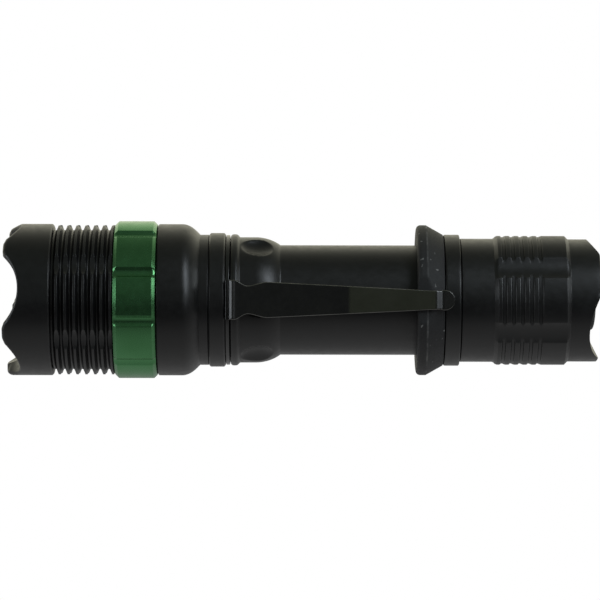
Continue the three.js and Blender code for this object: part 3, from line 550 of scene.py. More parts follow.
def strike_bezel():
    """Front ring whose front edge follows the notches, with every edge rounded."""
    start, end, radius = span("strike_bezel")
    lip_start = start + BEZEL_LIP_PLACE
    centre = start + NOTCH_DEPTH - NOTCH_RADIUS

    def front(r, offset):
        across = r * math.sin(math.radians(offset))
        wall = centre + math.sqrt(max(NOTCH_RADIUS**2 - across**2, 1.0))
        return float(soft_max(start, wall, 0.3))

    def outline_at(angle):
        offset = nearest(angle, NOTCH_ANGLE, NOTCHES)
        outer_front = front(radius, offset)
        inner = BEZEL_LIP + BEZEL_FLARE
        for _ in range(4):  # the flare and the notch depend on each other, and settle in a few rounds
            inner_front = front(inner, offset)
            inner = BEZEL_LIP + BEZEL_FLARE * (lip_start - inner_front) / (lip_start - start)
        sharp = (outer_front - start) / NOTCH_DEPTH
        return rounded([
            (end, BEZEL_BORE, 0.1),
            (end, radius - 0.3, 0.12),
            (end - 0.3, radius, 0.15),
            (outer_front, radius, 1.0 - 0.65 * sharp),
            (inner_front, inner, 0.3),
            (lip_start, BEZEL_LIP, 0.1),
            (lip_start + BEZEL_LIP_WIDTH, BEZEL_LIP, 0.1),
            (lip_start + BEZEL_LIP_WIDTH, BEZEL_BORE, 0.05),
        ], steps=4)

    add("strike_bezel", revolved("strike_bezel", outline_at, np.arange(0, 360, 0.9)), BLACK)


FINS, FIN_FIRST, FIN_PITCH, FIN_TIP, FIN_VALLEY = 7, 12.2, 2.02, 0.5, 15.8
HEAD_FLUTES, HEAD_FLUTE_ANGLE, HEAD_FLUTE_RADIUS, HEAD_FLUTE_FLOOR = 6, 28, 4.8, 16.2
PINS, PIN_ANGLE, PIN_RADIUS, SLOT_WIDTH = 3, 30, 0.9, 2.2
FOCUS_TRAVEL, FOCUS_TURN = 5.5, 120
BARREL, BARREL_BORE = 15.1, 13.3


def finned_head():
    """Shell with cooling fins, flutes across them, and slots for the focus pins in its barrel."""
    start, end, radius = span("finned_head")
    ring_start = span("focus_ring")[0]
    fins_start = span("strike_bezel")[1] + 0.15
    corners = [
        (start, BARREL_BORE, 0.2),
        (start, BARREL, 0.2),
        (fins_start, BARREL, 0.05),
        (fins_start, FIN_VALLEY, 0.1),
    ]
    flank = (FIN_PITCH - FIN_TIP - 0.45) / 2
    for i in range(FINS):
        tip_start = FRONT + FIN_FIRST + i * FIN_PITCH - FIN_TIP / 2
        tip_end = min(tip_start + FIN_TIP, ring_start - 0.2)
        corners += [
            (tip_start - flank, FIN_VALLEY, 0.25), (tip_start, radius, 0.12), (tip_end, radius, 0.12),
        ]
        if i < FINS - 1:
            corners.append((tip_end + flank, FIN_VALLEY, 0.25))
    corners += [(ring_start - 0.2, BARREL, 0.05), (end, BARREL, 0.3), (end, BARREL_BORE, 0.2)]
    outline = resampled(rounded(corners), 0.25)
    outline = outline[(outline[:, 0] < ring_start) | (np.arange(len(outline)) % 4 == 0)]

    def outline_at(angle):
        wall = flute(nearest(angle, HEAD_FLUTE_ANGLE, HEAD_FLUTES), HEAD_FLUTE_FLOOR, HEAD_FLUTE_RADIUS)
        fins = outline[:, 1] > FIN_VALLEY - 0.3
        shaped = outline.copy()
        shaped[fins, 1] = soft_min(outline[fins, 1], wall, 0.06)
        return shaped

    half_flute = 8.5
    edges = [HEAD_FLUTE_ANGLE + i * 360 / HEAD_FLUTES + side * half_flute
             for i in range(HEAD_FLUTES) for side in (-1, 1)]
    shell = revolved("finned_head", outline_at, angles_near(edges, 2.4))

    def slot(angle):
        half = SLOT_WIDTH / 2
        low = (PIN_PLACE - FOCUS_TRAVEL - half, -BARREL - 1, AXIS_HEIGHT - half)
        high = (PIN_PLACE + half, -BARREL_BORE + 1, AXIS_HEIGHT + half)
        return turned_about_axis(block("slot", low, high, 0.9), angle)

    add("finned_head", cut(shell, *spread(slot, PINS, PIN_ANGLE)), BLACK)


RING_GROOVES, RING_GROOVE_ANGLE, RING_GROOVE_WIDTH, RING_GROOVE_DEPTH = 10, 20.2, 2.5, 0.62
RING_CHAMFER, RING_BORE, CAM_RADIUS, CAM_OVERRUN = 0.8, 15.3, 1.2, 0.04


def focus_ring():
    """Ring with finger grooves outside and the cam grooves for the pins inside."""
    start, end, radius = span("focus_ring")
    bore_places = np.linspace(end - 0.3, start + 0.3, 32)
    corners = [
        (start, RING_BORE, 0.1),
        (start, radius - RING_CHAMFER, 0.14),
        (start + RING_CHAMFER, radius, 0.14),
        (end - RING_CHAMFER, radius, 0.14),
        (end, radius - RING_CHAMFER, 0.14),
        (end, RING_BORE, 0.1),
        *[(x, RING_BORE, 0) for x in bore_places],
    ]
    outline = rounded(corners)
    inside = outline[:, 1] < RING_BORE + 0.01
    half = RING_GROOVE_WIDTH / 2
    cutter = (half**2 + RING_GROOVE_DEPTH**2) / (2 * RING_GROOVE_DEPTH)
    cutter_height = radius - RING_GROOVE_DEPTH + cutter

    def outline_at(angle):
        shaped = outline.copy()
        offset = math.radians(nearest(angle, RING_GROOVE_ANGLE, RING_GROOVES))
        across = abs(radius * math.sin(offset))
        if across < cutter:
            floor = cutter_height - math.sqrt(cutter**2 - across**2)
            outside = ~inside
            shaped[outside, 1] = soft_min(outline[outside, 1], floor / math.cos(offset), 0.1)
        for i in range(PINS):
            turn = (angle - PIN_ANGLE - i * 360 / PINS + 180) % 360 - 180
            share = turn / FOCUS_TURN
            if -CAM_OVERRUN <= share <= 1 + CAM_OVERRUN:
                away = outline[inside, 0] - (PIN_PLACE - share * FOCUS_TRAVEL)
                depth = np.sqrt(np.clip(CAM_RADIUS**2 - away**2, 0, None))
                shaped[inside, 1] = np.maximum(shaped[inside, 1], RING_BORE + depth)
        return shaped

    edges = []
    for i in range(RING_GROOVES):
        middle = RING_GROOVE_ANGLE + i * 360 / RING_GROOVES
        edge = math.degrees(math.asin(half / radius))
        edges += [middle - edge, middle - edge / 2, middle, middle + edge / 2, middle + edge]
    cams = [PIN_ANGLE + i * 360 / PINS + FOCUS_TURN * share
            for i in range(PINS) for share in (-CAM_OVERRUN, 1 + CAM_OVERRUN)]
    add("focus_ring", revolved("focus_ring", outline_at, angles_near(edges + cams, 2.4, 0.35, 2)), GREEN)


def light_engine():
    """The window, and behind it the gasket, lens and its carrier and retainer, the focus pins and the LED
    pill; the LED, boards and contact come in led_and_boards.
    """
    start, end, radius = span("front_window")
    add_turned("front_window", rod(start, end, radius, 0.2), WINDOW_GLASS)
    start, end, radius = span("window_gasket")
    add_turned("window_gasket", tube(start, end, 13.5, radius, 0.3), SEAL_RUBBER)

    start, end, radius = span("lens")
    dome = bezier((end - 2.0, 10.7), (end - 4.4, 10.0), (start, 6.5), (start, 0), 20)
    lens = [(end, 0, 0), (end, radius, 0.2), (end - 2.0, radius, 0.2), *dome]
    add_turned("lens", lens, LENS_GLASS, sides=96)

    start, end, radius = span("lens_carrier")
    seat = span("lens")[1] + 0.1
    bore = radius - 1.15
    carrier = turned("lens_carrier", [
        (start, bore, 0.15), (start, radius, 0.25), (end, radius, 0.25), (end, bore, 0.15),
        (seat + 1, bore, 0.05), (seat + 1, bore - 1, 0.2), (seat, bore - 1, 0.1), (seat, bore, 0.05),
    ], 96)

    def hole(angle):
        path = [(PIN_PLACE, -r, AXIS_HEIGHT) for r in (bore - 1, bore, radius + 1)]
        return turned_about_axis(swept("hole", path, 1.0, 24), angle)

    add("lens_carrier", cut(carrier, *spread(hole, PINS, PIN_ANGLE)), ALUMINIUM)
    start, end, radius = span("lens_retainer")
    add_turned("lens_retainer", tube(start, end, 10.9, radius, 0.2), BLACK, sides=96)
    for i in range(PINS):
        steps = np.linspace(12.1, 15.25, 8)
        path = [(PIN_PLACE, -r, AXIS_HEIGHT) for r in steps]
        shank = swept("focus_pin", path, PIN_RADIUS, 24)
        add(f"focus_pin_{i + 1}", turned_about_axis(shank, PIN_ANGLE + i * 360 / PINS), SPRING)

    start, end, radius = span("led_pill")
    barrel_end = span("finned_head")[1]
    add_turned("led_pill", [
        (start, 0, 0), (start, 8.0, 0.3), (barrel_end + 0.15, 8.0, 0.4), (barrel_end + 0.15, radius, 0.2),
        (barrel_end + 1.4, radius, 0.2), (barrel_end + 1.4, 12.5, 0.2), (end, 12.5, 0.3), (end, 9.75, 0.2),
        (barrel_end + 2.1, 9.75, 0.2), (barrel_end + 2.1, 0, 0),
    ], ALUMINIUM, sides=96)


def led_and_boards():
    """LED on its board, driver board and front contact, behind the lens."""
    start, end, radius = span("led_board")
    disc = turned("led_board", rod(start, end, radius), 96)
    pads = [
        block("pad", (start - 0.12, side * 4.6 - 1.0, AXIS_HEIGHT - 0.8),
              (start + 0.2, side * 4.6 + 1.0, AXIS_HEIGHT + 0.8), 0.08)
        for side in (-1, 1)
    ]
    led_board = add("led_board", cut(disc, *pads, operation="UNION"), BOARD, BRASS)
    paint(led_board, 1, lambda x, r: x < start - 0.05)

    start, end, radius = span("led_emitter")
    base_start = end - 0.7
    low, high = (base_start, -radius, AXIS_HEIGHT - radius), (end, radius, AXIS_HEIGHT + radius)
    base = block("led_base", low, high, 0.12)
    dome_radius, dome_height = 1.4, 1.2
    dome = [(end - 0.3, 0, 0), (end - 0.3, dome_radius, 0)]
    for turn in np.linspace(0.05, math.pi / 2, 10):
        dome.append((base_start - dome_height * math.sin(turn), dome_radius * math.cos(turn), 0))
    emitter = add("led_emitter", cut(base, turned("dome", dome, 48), operation="UNION"), PHOSPHOR, BOARD)
    paint(emitter, 1, lambda x, r: r > 1.5)

    start, end, radius = span("driver_board")
    driver = add_turned("driver_board", rod(start, end, radius), BOARD, BRASS, sides=96)
    paint(driver, 1, lambda x, r: x > end - 0.05 and r > radius - 1.5)
    start, end, radius = span("front_contact")
    add_turned("front_contact", [
        (start, 0, 0), (start, radius, 0.1), (start + 0.3, radius, 0.1), (start + 0.6, 2.2, 0.15),
        (end, 2.2, 0.2), (end, 0, 0),
    ], BRASS, sides=64)


def head_base():
    """Shell behind the focus ring, with its rounded shoulder."""
    start, end, radius = span("head_base")
    step = start + 3.65
    neck, pocket = 14.8, 15.25
    shoulder = bezier(
        (start + 5.35, radius), (start + 7.05, radius), (start + 8.35, 16.0), (start + 9.45, neck), 14,
    )
    add_turned("head_base", [
        (start, pocket, 0.1), (start, radius, 0.3), *shoulder, (end, neck, 0.12), (end, FRONT_BORE, 0.1),
        (step, FRONT_BORE, 0.1), (step, pocket, 0.1),
    ], BLACK, sides=160)


# ---------------------------------------------------------------- collar, clip and tube
CLIP_ROOT_WIDTH, CLIP_WAIST_WIDTH, CLIP_SHOULDER_WIDTH, CLIP_NECK_WIDTH = 8.9, 6.3, 8.0, 4.2
CLIP_THICKNESS, CLIP_TIP_RADIUS, CLIP_EDGE = 0.85, 2.25, 0.22


def collar_and_clip_ring():
    """Lock collar, and the clip's clamp ring with the flat tab that its arm springs from."""
    start, end, radius = span("collar_ring")
    chamfer = 0.35
    add_turned("collar_ring", [
        (start, FRONT_BORE, 0.1), (start, radius - chamfer, 0.1), (start + chamfer, radius, 0.15),
        (end - chamfer, radius, 0.15), (end, radius - chamfer, 0.1), (end, FRONT_BORE, 0.1),
    ], BLACK, sides=160)

    start, end, _ = span("clip_ring")
    radius = 14.75
    tab = -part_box("clip_ring")[0].y / MM
    tab_edge = math.degrees(math.atan(CLIP_ROOT_WIDTH / 2 / tab))

    def outline_at(angle):
        offset = abs(nearest(angle, 0, 1))
        share = np.clip((tab_edge - offset) / 0.5 + 0.5, 0, 1)
        outer = radius + (tab / math.cos(math.radians(min(offset, tab_edge))) - radius) * share
        return rounded(tube(start, end, FRONT_BORE, outer, 0.14))

    angles = angles_near([-tab_edge, tab_edge], 2.4, 0.25)
    add("clip_ring", revolved("clip_ring", outline_at, angles), CLIP_PAINT_AND_REFLECTION)


def clip_width(x):
    """Width of the clip arm along the torch: root, waist, shoulder, taper and round tip."""
    places = FRONT + np.array([51.9, 54.9, 59.4, 97.2])
    widths = np.array([CLIP_ROOT_WIDTH, CLIP_WAIST_WIDTH, CLIP_SHOULDER_WIDTH, CLIP_NECK_WIDTH])
    if x <= places[0]:
        return widths[0]
    for i in range(2):
        if x <= places[i + 1]:
            share = (x - places[i]) / (places[i + 1] - places[i])
            return widths[i] + (widths[i + 1] - widths[i]) * share * share * (3 - 2 * share)
    tip_centre = span("clip_arm")[1] - CLIP_TIP_RADIUS
    taper = widths[2] + (widths[3] - widths[2]) * (x - places[2]) / (places[3] - places[2])
    lobe = 2 * math.sqrt(max(CLIP_TIP_RADIUS**2 - (x - tip_centre) ** 2, 0.01))
    return lobe if x > tip_centre else max(min(taper, widths[2]), lobe)


def clip_path():
    """Outer line of the clip arm: root bend, long arm, dip towards the body, flared tip."""
    start, end, _ = span("clip_arm")
    low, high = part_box("clip_arm")
    root, top = -high.y / MM, -low.y / MM
    bend, lift = 2.0, 16.7
    dip_start, dip_end, dip = FRONT + 97.0, FRONT + 98.6, 0.42
    path = [(x, r) for x, r in arc((start + bend, lift - bend), bend, 180, 92, 14) if r > root]
    path = [(path[0][0] - 0.02, root)] + path
    path.append((CLIP_KINK - 0.6, top - 0.05))
    path += [(x, r) for x, r, _ in bezier(
        (dip_start, top), (dip_start + 0.5, top - 0.02),
        (dip_end - 0.5, top - 0.4), (dip_end, top - dip), 12,
    )]
    path += [(dip_end + 0.4, top - dip + 0.01), (end, top - 0.12)]
    return resampled(np.array(path), 0.5, closed=False)


def clip_arm():
    """Sprung strip with rounded edges, following its outer line."""
    end = span("clip_arm")[1]
    path = clip_path()
    tip = path[:, 0] > end - CLIP_TIP_RADIUS
    shares = np.linspace(0, 1, 16)[1:]
    last = path[~tip][-1]
    curl = [last + (path[-1] - last) * math.sin(share * math.pi / 2) for share in shares]
    path = np.concatenate([path[~tip], curl])
    tangents = np.gradient(path, axis=0)
    tangents /= np.linalg.norm(tangents, axis=1)[:, None]
    points = []
    for (x, height), (run, rise) in zip(path, tangents):
        wide = clip_width(x) / 2
        section = rounded([
            (-wide, -CLIP_THICKNESS, 0.1), (wide, -CLIP_THICKNESS, 0.1),
            (wide, 0, CLIP_EDGE), (-wide, 0, CLIP_EDGE),
        ], steps=4)
        for side, out in section:
            points.append((x - rise * out, -(height + run * out), AXIS_HEIGHT + side))
    columns = len(points) // len(path)
    faces = grid_faces(len(path), columns, False, True)
    faces += [list(range(columns)), list(range(len(points) - columns, len(points)))]
    arm = add("clip_arm", mesh_of("clip_arm", points, faces), CLIP_PAINT_AND_REFLECTION, CLIP_WEAR)
    for face in arm.data.polygons:
        if abs(face.normal.z) > 0.3 and face.normal.y < -0.3:
            face.material_index = 1


DIMPLES, DIMPLE_ANGLE, DIMPLE_CENTRE, DIMPLE_DEPTH = 6, 58.5, 57.6, 1.45
DIMPLE_HALF_LENGTH, DIMPLE_HALF_HEIGHT, DIMPLE_HALF_WIDTH = 4.7, 2.6, 3.9
TUBE_BORE, FRONT_SPIGOT, REAR_SPIGOT = 9.6, 12.6, 12.0
THREAD_PITCH, THREAD_DEPTH = 1.5, 0.55
SEAL_WIDTH, SEAL_DEPTH, SEAL_RADIUS = 1.3, 0.8, 0.4


def seal_groove(node, spigot):
    """Corners of the groove that an O-ring sits in."""
    start, end, _ = span(node)
    start, end = (start + end - SEAL_WIDTH) / 2, (start + end + SEAL_WIDTH) / 2
    floor = spigot - SEAL_DEPTH
    return [(start, spigot, 0.08), (start, floor, 0.1), (end, floor, 0.1), (end, spigot, 0.08)]


def battery_tube():
    """Tube with a bead, a dimpled shoulder and a screw thread for the tail cap."""
    start, end, _ = span("battery_tube")
    radius, shoulder_radius, bead_radius = 12.45, 14.25, 14.92
    bead = FRONT + 50.95
    shoulder = bezier(
        (FRONT + 56.6, shoulder_radius), (FRONT + 58.9, shoulder_radius),
        (FRONT + 61.0, 13.4), (FRONT + 62.2, radius), 20,
    )
    guard_end = span("grip_guard")[1]
    outline = rounded([
        (start, TUBE_BORE, 0.2), (start, FRONT_SPIGOT, 0.3), *seal_groove("front_o_ring", FRONT_SPIGOT),
        (bead, FRONT_SPIGOT, 0.1), (bead, bead_radius, 0.9), (bead + 1.5, bead_radius, 0.9),
        (bead + 2.1, shoulder_radius, 0.3), *shoulder,
        (guard_end, radius, 0.1), (guard_end, REAR_SPIGOT, 0.1),
        *seal_groove("rear_o_ring", REAR_SPIGOT), (end, REAR_SPIGOT, 0.4), (end, TUBE_BORE, 0.2),
    ])
    fine = resampled(outline, 0.28)
    thread_start, thread_end = FRONT + 105.6, end - 0.35
    skin = REAR_SPIGOT - 0.1
    detailed = (fine[:, 1] > skin) & (
        ((fine[:, 0] > bead + 1.4) & (fine[:, 0] < FRONT + 62.6)) | (fine[:, 0] > thread_start - 0.3)
    )
    corner = np.array([np.min(np.linalg.norm(outline - point, axis=1)) < 1e-6 for point in fine])
    outline = fine[detailed | corner]
    outside = outline[:, 1] > skin

    def outline_at(angle):
        shaped = outline.copy()
        x, r = outline[outside].T
        across = r * math.sin(math.radians(nearest(angle, DIMPLE_ANGLE, DIMPLES))) / DIMPLE_HALF_WIDTH
        along = (x - FRONT - DIMPLE_CENTRE) / DIMPLE_HALF_LENGTH
        inside = 1 - along**2 - across**2
        wall = np.where(
            inside > 0,
            shoulder_radius - DIMPLE_DEPTH + DIMPLE_HALF_HEIGHT * (1 - np.sqrt(np.clip(inside, 0, 1))),
            r + 1,
        )
        r = soft_min(r, wall, 0.1)
        wave = np.abs(((x - thread_start) / THREAD_PITCH - angle / 360) % 1 - 0.5) * 2
        run_out = np.clip(np.minimum(x - thread_start, thread_end - x) / THREAD_PITCH, 0, 1)
        groove = np.clip(wave * 1.5 - 0.35, 0, 1) * THREAD_DEPTH * run_out
        shaped[outside, 1] = r - groove
        return shaped

    middles = [DIMPLE_ANGLE + i * 360 / DIMPLES for i in range(DIMPLES)]
    add("battery_tube", revolved("battery_tube", outline_at, angles_near(middles, 2.4, 1.0, 16)), BLACK)


def seals_and_cell():
    """O-rings at both ends of the tube, and the battery cell in it."""
    for node in ("front_o_ring", "rear_o_ring"):
        start, end, radius = span(node)
        section = [(x, r, 0) for x, r in arc(
            ((start + end) / 2, radius - SEAL_RADIUS), SEAL_RADIUS, 0, 337.5, 15,
        )]
        add_turned(node, section, SEAL_RUBBER)
    start, end, radius = span("battery_cell")
    button, can_start = 3.0, start + 0.8
    cell = add_turned("battery_cell", [
        (start, 0, 0), (start, button, 0.3), (can_start, button, 0.1), (can_start, radius - 1.2, 0.05),
        (can_start, radius, 0.5), (end, radius, 0.5), (end, 0, 0),
    ], WRAP, SPRING, sides=96)
    paint(cell, 1, lambda x, r: r < radius - 1.3)


# ---------------------------------------------------------------- guard and tail
def grip_guard():
    """Rubber ring with a soft rim, a cone and the flat that the clip passes over."""
    start, end, radius = span("grip_guard")
    flat = -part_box("grip_guard")[0].y / MM
    bore, foot = 12.6, 14.85
    corners = [
        (start, bore, 0.2), (start, radius, 0.95), (GUARD_EDGE, radius, 0.25),
        (end, foot, 0.3), (end, bore, 0.2),
    ]
    outline = resampled(rounded(corners, steps=6), 0.5)

    def outline_at(angle):
        offset = nearest(angle, 0, 1)
        shaped = outline.copy()
        if abs(offset) < 60:
            wall = flat / math.cos(math.radians(offset))
            shaped[:, 1] = soft_min(outline[:, 1], wall, 0.12)
        return shaped

    edge = math.degrees(math.acos(flat / radius))
    angles = angles_near([-edge, edge], 2.0, 0.7, 8)
    add("grip_guard", revolved("grip_guard", outline_at, angles), GUARD_RUBBER)


def tail_ring():
    """Metal ring behind the guard."""
    start, end, radius = span("tail_ring")
    add_turned("tail_ring", tube(start, end, REAR_BORE, radius, 0.28), BLACK, sides=160)


GRIP_GROOVES, GRIP_GROOVE_FIRST, GRIP_GROOVE_PITCH = 5, 112.5, 2.03
GRIP_GROOVE_WIDTH, GRIP_GROOVE_DEPTH = 1.05, 0.36
CAP_FLUTES, CAP_FLUTE_ANGLE, CAP_FLUTE_RADIUS, CAP_FLUTE_FLOOR = 6, 30, 7.5, 14.15
SCALLOPS, SCALLOP_ANGLE, SCALLOP_RADIUS, SCALLOP_DEPTH = 3, -33.3, 15.5, 2.5
SHROUD_RADIUS, SHROUD_CORNER, SHROUD_BORE = 13.9, 0.35, 8.6
CAP_NECK, CAP_CHAMFER, MODULE_BORE, LIP_BORE = 14.0, 0.9, 11.2, 7.1


def tail_cap():
    """Screw cap: grip with ring grooves and flutes, and a shroud whose end follows the scallops."""
    start, end, radius = span("tail_cap")
    lip = FRONT + 125.2
    grip_start, grip_end = FRONT + 110.3, FRONT + 127.4
    module_start = FRONT + 111.2
    grip = [
        (start, REAR_BORE, 0.2),
        (start, CAP_NECK, 0.15),
        (grip_start, CAP_NECK, 0.12),
        (grip_start + CAP_CHAMFER, radius, 0.2),
    ]
    for i in range(GRIP_GROOVES):
        middle = FRONT + GRIP_GROOVE_FIRST + i * GRIP_GROOVE_PITCH
        near, far = middle - GRIP_GROOVE_WIDTH / 2, middle + GRIP_GROOVE_WIDTH / 2
        floor = radius - GRIP_GROOVE_DEPTH
        grip += [
            (near, radius, 0.5), (near + 0.25, floor, 0.06), (far - 0.25, floor, 0.06), (far, radius, 0.5),
        ]
    grip += [(grip_end - CAP_CHAMFER, radius, 0.2), (grip_end, SHROUD_RADIUS, 0.15)]
    centre = end + SCALLOP_RADIUS - SCALLOP_DEPTH

    def rim(r, offset):
        """End of the shroud's wall, where straight cutter passes leave a crest between two scallops."""
        past_crest = math.acos(r * math.cos(math.radians(180 / SCALLOPS - abs(offset))) / SHROUD_RADIUS)
        across = SHROUD_RADIUS * math.sin(max(0.0, math.radians(180 / SCALLOPS) - past_crest))
        wall = centre - math.sqrt(max(SCALLOP_RADIUS**2 - across**2, 1.0))
        return float(soft_min(end, wall, 0.25))

    def wall_radius(x):
        share = max(0.0, (x - (end - SHROUD_CORNER)) / SHROUD_CORNER)
        return SHROUD_RADIUS - SHROUD_CORNER * (1 - math.sqrt(max(0.0, 1 - share)))

    def outline_at(angle):
        offset = nearest(angle, SCALLOP_ANGLE, SCALLOPS)
        outer_end = rim(SHROUD_RADIUS - 0.1, offset)
        wall = [(x, wall_radius(x), 0) for x in np.linspace(grip_end + 1.5, outer_end - 0.3, 9)]
        inner_end = rim(SHROUD_BORE, offset)
        outline = rounded(grip + wall + [
            (outer_end, wall_radius(outer_end), 0.3),
            (inner_end, SHROUD_BORE, 0.4),
            (lip + 2.4, SHROUD_BORE, 0.1),
            (lip + 1.2, LIP_BORE, 0.2),
            (lip, LIP_BORE, 0.1),
            (lip, MODULE_BORE, 0.1),
            (module_start, MODULE_BORE, 0.1),
            (module_start, REAR_BORE, 0.1),
        ])
        bottom = flute(nearest(angle, CAP_FLUTE_ANGLE, CAP_FLUTES), CAP_FLUTE_FLOOR, CAP_FLUTE_RADIUS)
        grooved = (outline[:, 0] > grip_start + 0.1) & (outline[:, 0] < grip_end) & (outline[:, 1] > 13)
        outline[grooved, 1] = soft_min(outline[grooved, 1], bottom, 0.08)
        return outline

    half_flute = 9.4
    edges = [CAP_FLUTE_ANGLE + i * 360 / CAP_FLUTES + side * half_flute
             for i in range(CAP_FLUTES) for side in (-1, 1)]
    add("tail_cap", revolved("tail_cap", outline_at, angles_near(edges, 1.5, 0.3)), BLACK)


def switch_module():
    """Boot, plunger, washer, switch, board, retainer and spring inside the tail cap."""
    start, end, radius = span("switch_boot")
    flange_end = start + 1.45
    wall, inner_wall, post = 6.75, 5.35, 2.4
    dome = bezier((end - 1.5, wall), (end - 0.5, wall), (end - 0.3, wall - 0.75), (end, 0), 20)
    add_turned("switch_boot", [
        (flange_end, 0, 0), (flange_end, post, 0.2), (end - 2.8, post, 0.3), (end - 2.8, inner_wall, 0.3),
        (start, inner_wall, 0.2), (start, radius, 0.3),
        (flange_end, radius, 0.3), (flange_end, wall, 0.2), *dome,
    ], BOOT_RUBBER, sides=96)
    start, end, radius = span("switch_plunger")
    add_turned("switch_plunger", rod(start, end, radius, 0.3), PLASTIC, sides=48)
    start, end, radius = span("boot_washer")
    add_turned("boot_washer", tube(start, end, 8.1, radius), ALUMINIUM, sides=96)
    start, end, radius = span("switch_retainer")
    add_turned("switch_retainer", tube(start, end, 7.6, radius, 0.25), ALUMINIUM, sides=96)
    start, end, radius = span("switch_board")
    board_piece = add_turned("switch_board", rod(start, end, radius), BOARD, BRASS, sides=96)
    paint(board_piece, 1, lambda x, r: x < start + 0.05 and r < 7.3)
    start, end, half = span("tail_switch")
    box = block("tail_switch", (start, -half, AXIS_HEIGHT - half), (end, half, AXIS_HEIGHT + half), 0.5)
    well = turned("well", rod(span("switch_plunger")[0] - 2.2, end + 1, 2.5), 48)
    add("tail_switch", cut(box, well), PLASTIC)

    start, end, _ = span("tail_spring")
    turns, tip, foot, wire = 5, 3.8, 6.4, 0.5
    share = np.linspace(0, 1, turns * 28 + 1)
    x = start + wire + (end - start - 2 * wire) * share
    coil = on_torch(x, tip + (foot - tip) * share, 360 * turns * (1 - share))
    add("tail_spring", swept("tail_spring", coil, wire, 16), SPRING)


# ---------------------------------------------------------------- studio
CAMERA_DISTANCE, VIEW_WIDTH = 0.8, 0.1365
CAMERA_X, CAMERA_RISE, CAMERA_ROLL = -0.00044, -0.00001, -0.1  # metres, metres and degrees


def emit(name, place, size, power, colour):
    """Soft box facing the torch."""
    data = bpy.data.lights.new(name, "AREA")
    data.shape = "RECTANGLE"
    data.size, data.size_y = size
    data.energy = power
    data.color = colour
    lamp = placed(name, data)
    lamp.location = place
    towards = Vector((0, 0, AXIS_HEIGHT * MM)) - Vector(place)
    lamp.rotation_euler = towards.to_track_quat("-Z", "Y").to_euler()
    lamp.visible_camera = False


# Brightness of the surroundings as the torch reflects them, from the camera side (0) to behind (1).
SURROUNDINGS = [
    (0.0, (0.04, 0.044, 0.04)), (0.012, (0.075, 0.082, 0.072)), (0.04, (0.09, 0.1, 0.09)),
    (0.18, (0.1, 0.112, 0.096)), (0.44, (0.1, 0.11, 0.09)), (0.62, (0.18, 0.185, 0.15)),
    (0.75, (0.44, 0.44, 0.36)), (0.895, (1.0, 0.98, 0.78)), (1.0, (1.1, 1.07, 0.86)),
]
# Brightness of the floor as the torch reflects it, by metres along Y.
FLOOR_GLOW = [
    (-0.06, 0.03), (-0.045, 0.045), (-0.033, 0.12), (-0.026, 0.22), (-0.021, 0.27), (-0.0165, 0.3),
    (-0.011, 0.36), (-0.007, 0.38), (0.0, 0.36), (0.004, 0.38), (0.01, 0.42), (0.023, 0.38), (0.06, 0.36),
]
FLOOR_REACH = 0.06
# Name, place, size, power and colour of each soft box, in metres and watts.
SOFT_BOXES = [
    ("left box", (-0.62, -0.22, 0.09), (0.46, 0.26), 0.85, (0.88, 0.94, 1.0)),
    ("right box", (0.7, 0.03, 0.18), (0.25, 0.28), 0.5, (0.88, 0.95, 1.0)),
    ("front box", (0.33, -0.4, 0.34), (0.2, 0.42), 1.1, (0.84, 0.92, 1.0)),
    ("low right box", (0.42, -0.58, 0.05), (0.24, 0.16), 0.13, (0.84, 0.92, 1.0)),
    ("low left box", (-0.25, -0.72, 0.05), (0.14, 0.1), 0.03, (0.9, 0.95, 1.0)),
]


def along_y(tree, space, low, high):
    """Value running from 0 to 1 between two places along Y, in a texture coordinate's space."""
    place = tree.nodes.new("ShaderNodeTexCoord")
    parts = tree.nodes.new("ShaderNodeSeparateXYZ")
    remap = tree.nodes.new("ShaderNodeMapRange")
    remap.inputs["From Min"].default_value = low
    remap.inputs["From Max"].default_value = high
    tree.links.new(place.outputs[space], parts.inputs[0])
    tree.links.new(parts.outputs["Y"], remap.inputs["Value"])
    return remap.outputs["Result"]


def to_camera(tree, seen, otherwise):
    """Shader that shows one look to the camera and another to the torch."""
    path = tree.nodes.new("ShaderNodeLightPath")
    mix = tree.nodes.new("ShaderNodeMixShader")
    tree.links.new(path.outputs["Is Camera Ray"], mix.inputs["Fac"])
    tree.links.new(otherwise, mix.inputs[1])
    tree.links.new(seen, mix.inputs[2])
    return mix.outputs[0]


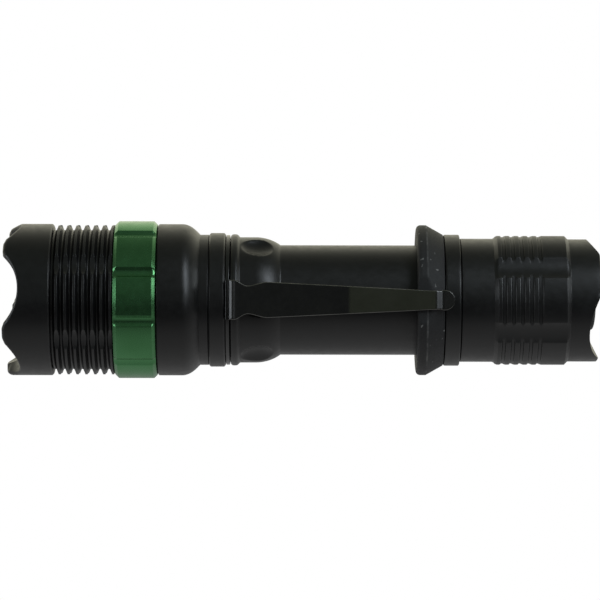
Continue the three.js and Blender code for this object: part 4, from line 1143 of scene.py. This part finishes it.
def studio():
    """Camera, a floor and surroundings that it sees as white, and soft boxes at the sides and in front."""
    data = bpy.data.cameras.new("camera")
    data.sensor_width = 36
    data.lens = data.sensor_width * CAMERA_DISTANCE / VIEW_WIDTH
    data.clip_end = 100
    camera = placed("camera", data)
    camera.location = (CAMERA_X, -CAMERA_DISTANCE, AXIS_HEIGHT * MM + CAMERA_RISE)
    camera.rotation_euler = (math.pi / 2, math.radians(CAMERA_ROLL), 0)
    bpy.context.scene.camera = camera

    world = bpy.data.worlds.new("studio")
    bpy.context.scene.world = world
    world.use_nodes = True
    tree = world.node_tree
    around = tree.nodes["Background"]
    ramp = gradient(tree.nodes, SURROUNDINGS)
    tree.links.new(along_y(tree, "Generated", -1, 1), ramp.inputs["Fac"])
    tree.links.new(ramp.outputs["Color"], around.inputs["Color"])
    around.inputs["Strength"].default_value = 1.0
    seen = tree.nodes.new("ShaderNodeBackground")
    seen.inputs["Color"].default_value = (1, 1, 1, 1)
    look = to_camera(tree, seen.outputs[0], around.outputs[0])
    tree.links.new(look, tree.nodes["World Output"].inputs["Surface"])

    floor_mesh = bpy.data.meshes.new("floor")
    floor_mesh.from_pydata([(-4, -4, 0), (4, -4, 0), (4, 4, 0), (-4, 4, 0)], [], [(0, 1, 2, 3)])
    floor = placed("floor", floor_mesh)
    paper = bpy.data.materials.new("paper")
    paper.use_nodes = True
    tree = paper.node_tree
    tree.nodes.remove(tree.nodes["Principled BSDF"])
    glow = tree.nodes.new("ShaderNodeEmission")
    stops = [((y + FLOOR_REACH) / (2 * FLOOR_REACH), (value,) * 3) for y, value in FLOOR_GLOW]
    ramp = gradient(tree.nodes, stops)
    tree.links.new(along_y(tree, "Object", -FLOOR_REACH, FLOOR_REACH), ramp.inputs["Fac"])
    tree.links.new(ramp.outputs["Color"], glow.inputs["Color"])
    seen = tree.nodes.new("ShaderNodeEmission")
    look = to_camera(tree, seen.outputs[0], glow.outputs[0])
    tree.links.new(look, tree.nodes["Material Output"].inputs["Surface"])
    floor_mesh.materials.append(paper)

    for box in SOFT_BOXES:
        emit(*box)

    bpy.context.scene.view_settings.view_transform = "Standard"


studio()
strike_bezel()
finned_head()
focus_ring()
light_engine()
led_and_boards()
head_base()
collar_and_clip_ring()
clip_arm()
battery_tube()
seals_and_cell()
grip_guard()
tail_ring()
tail_cap()
switch_module()
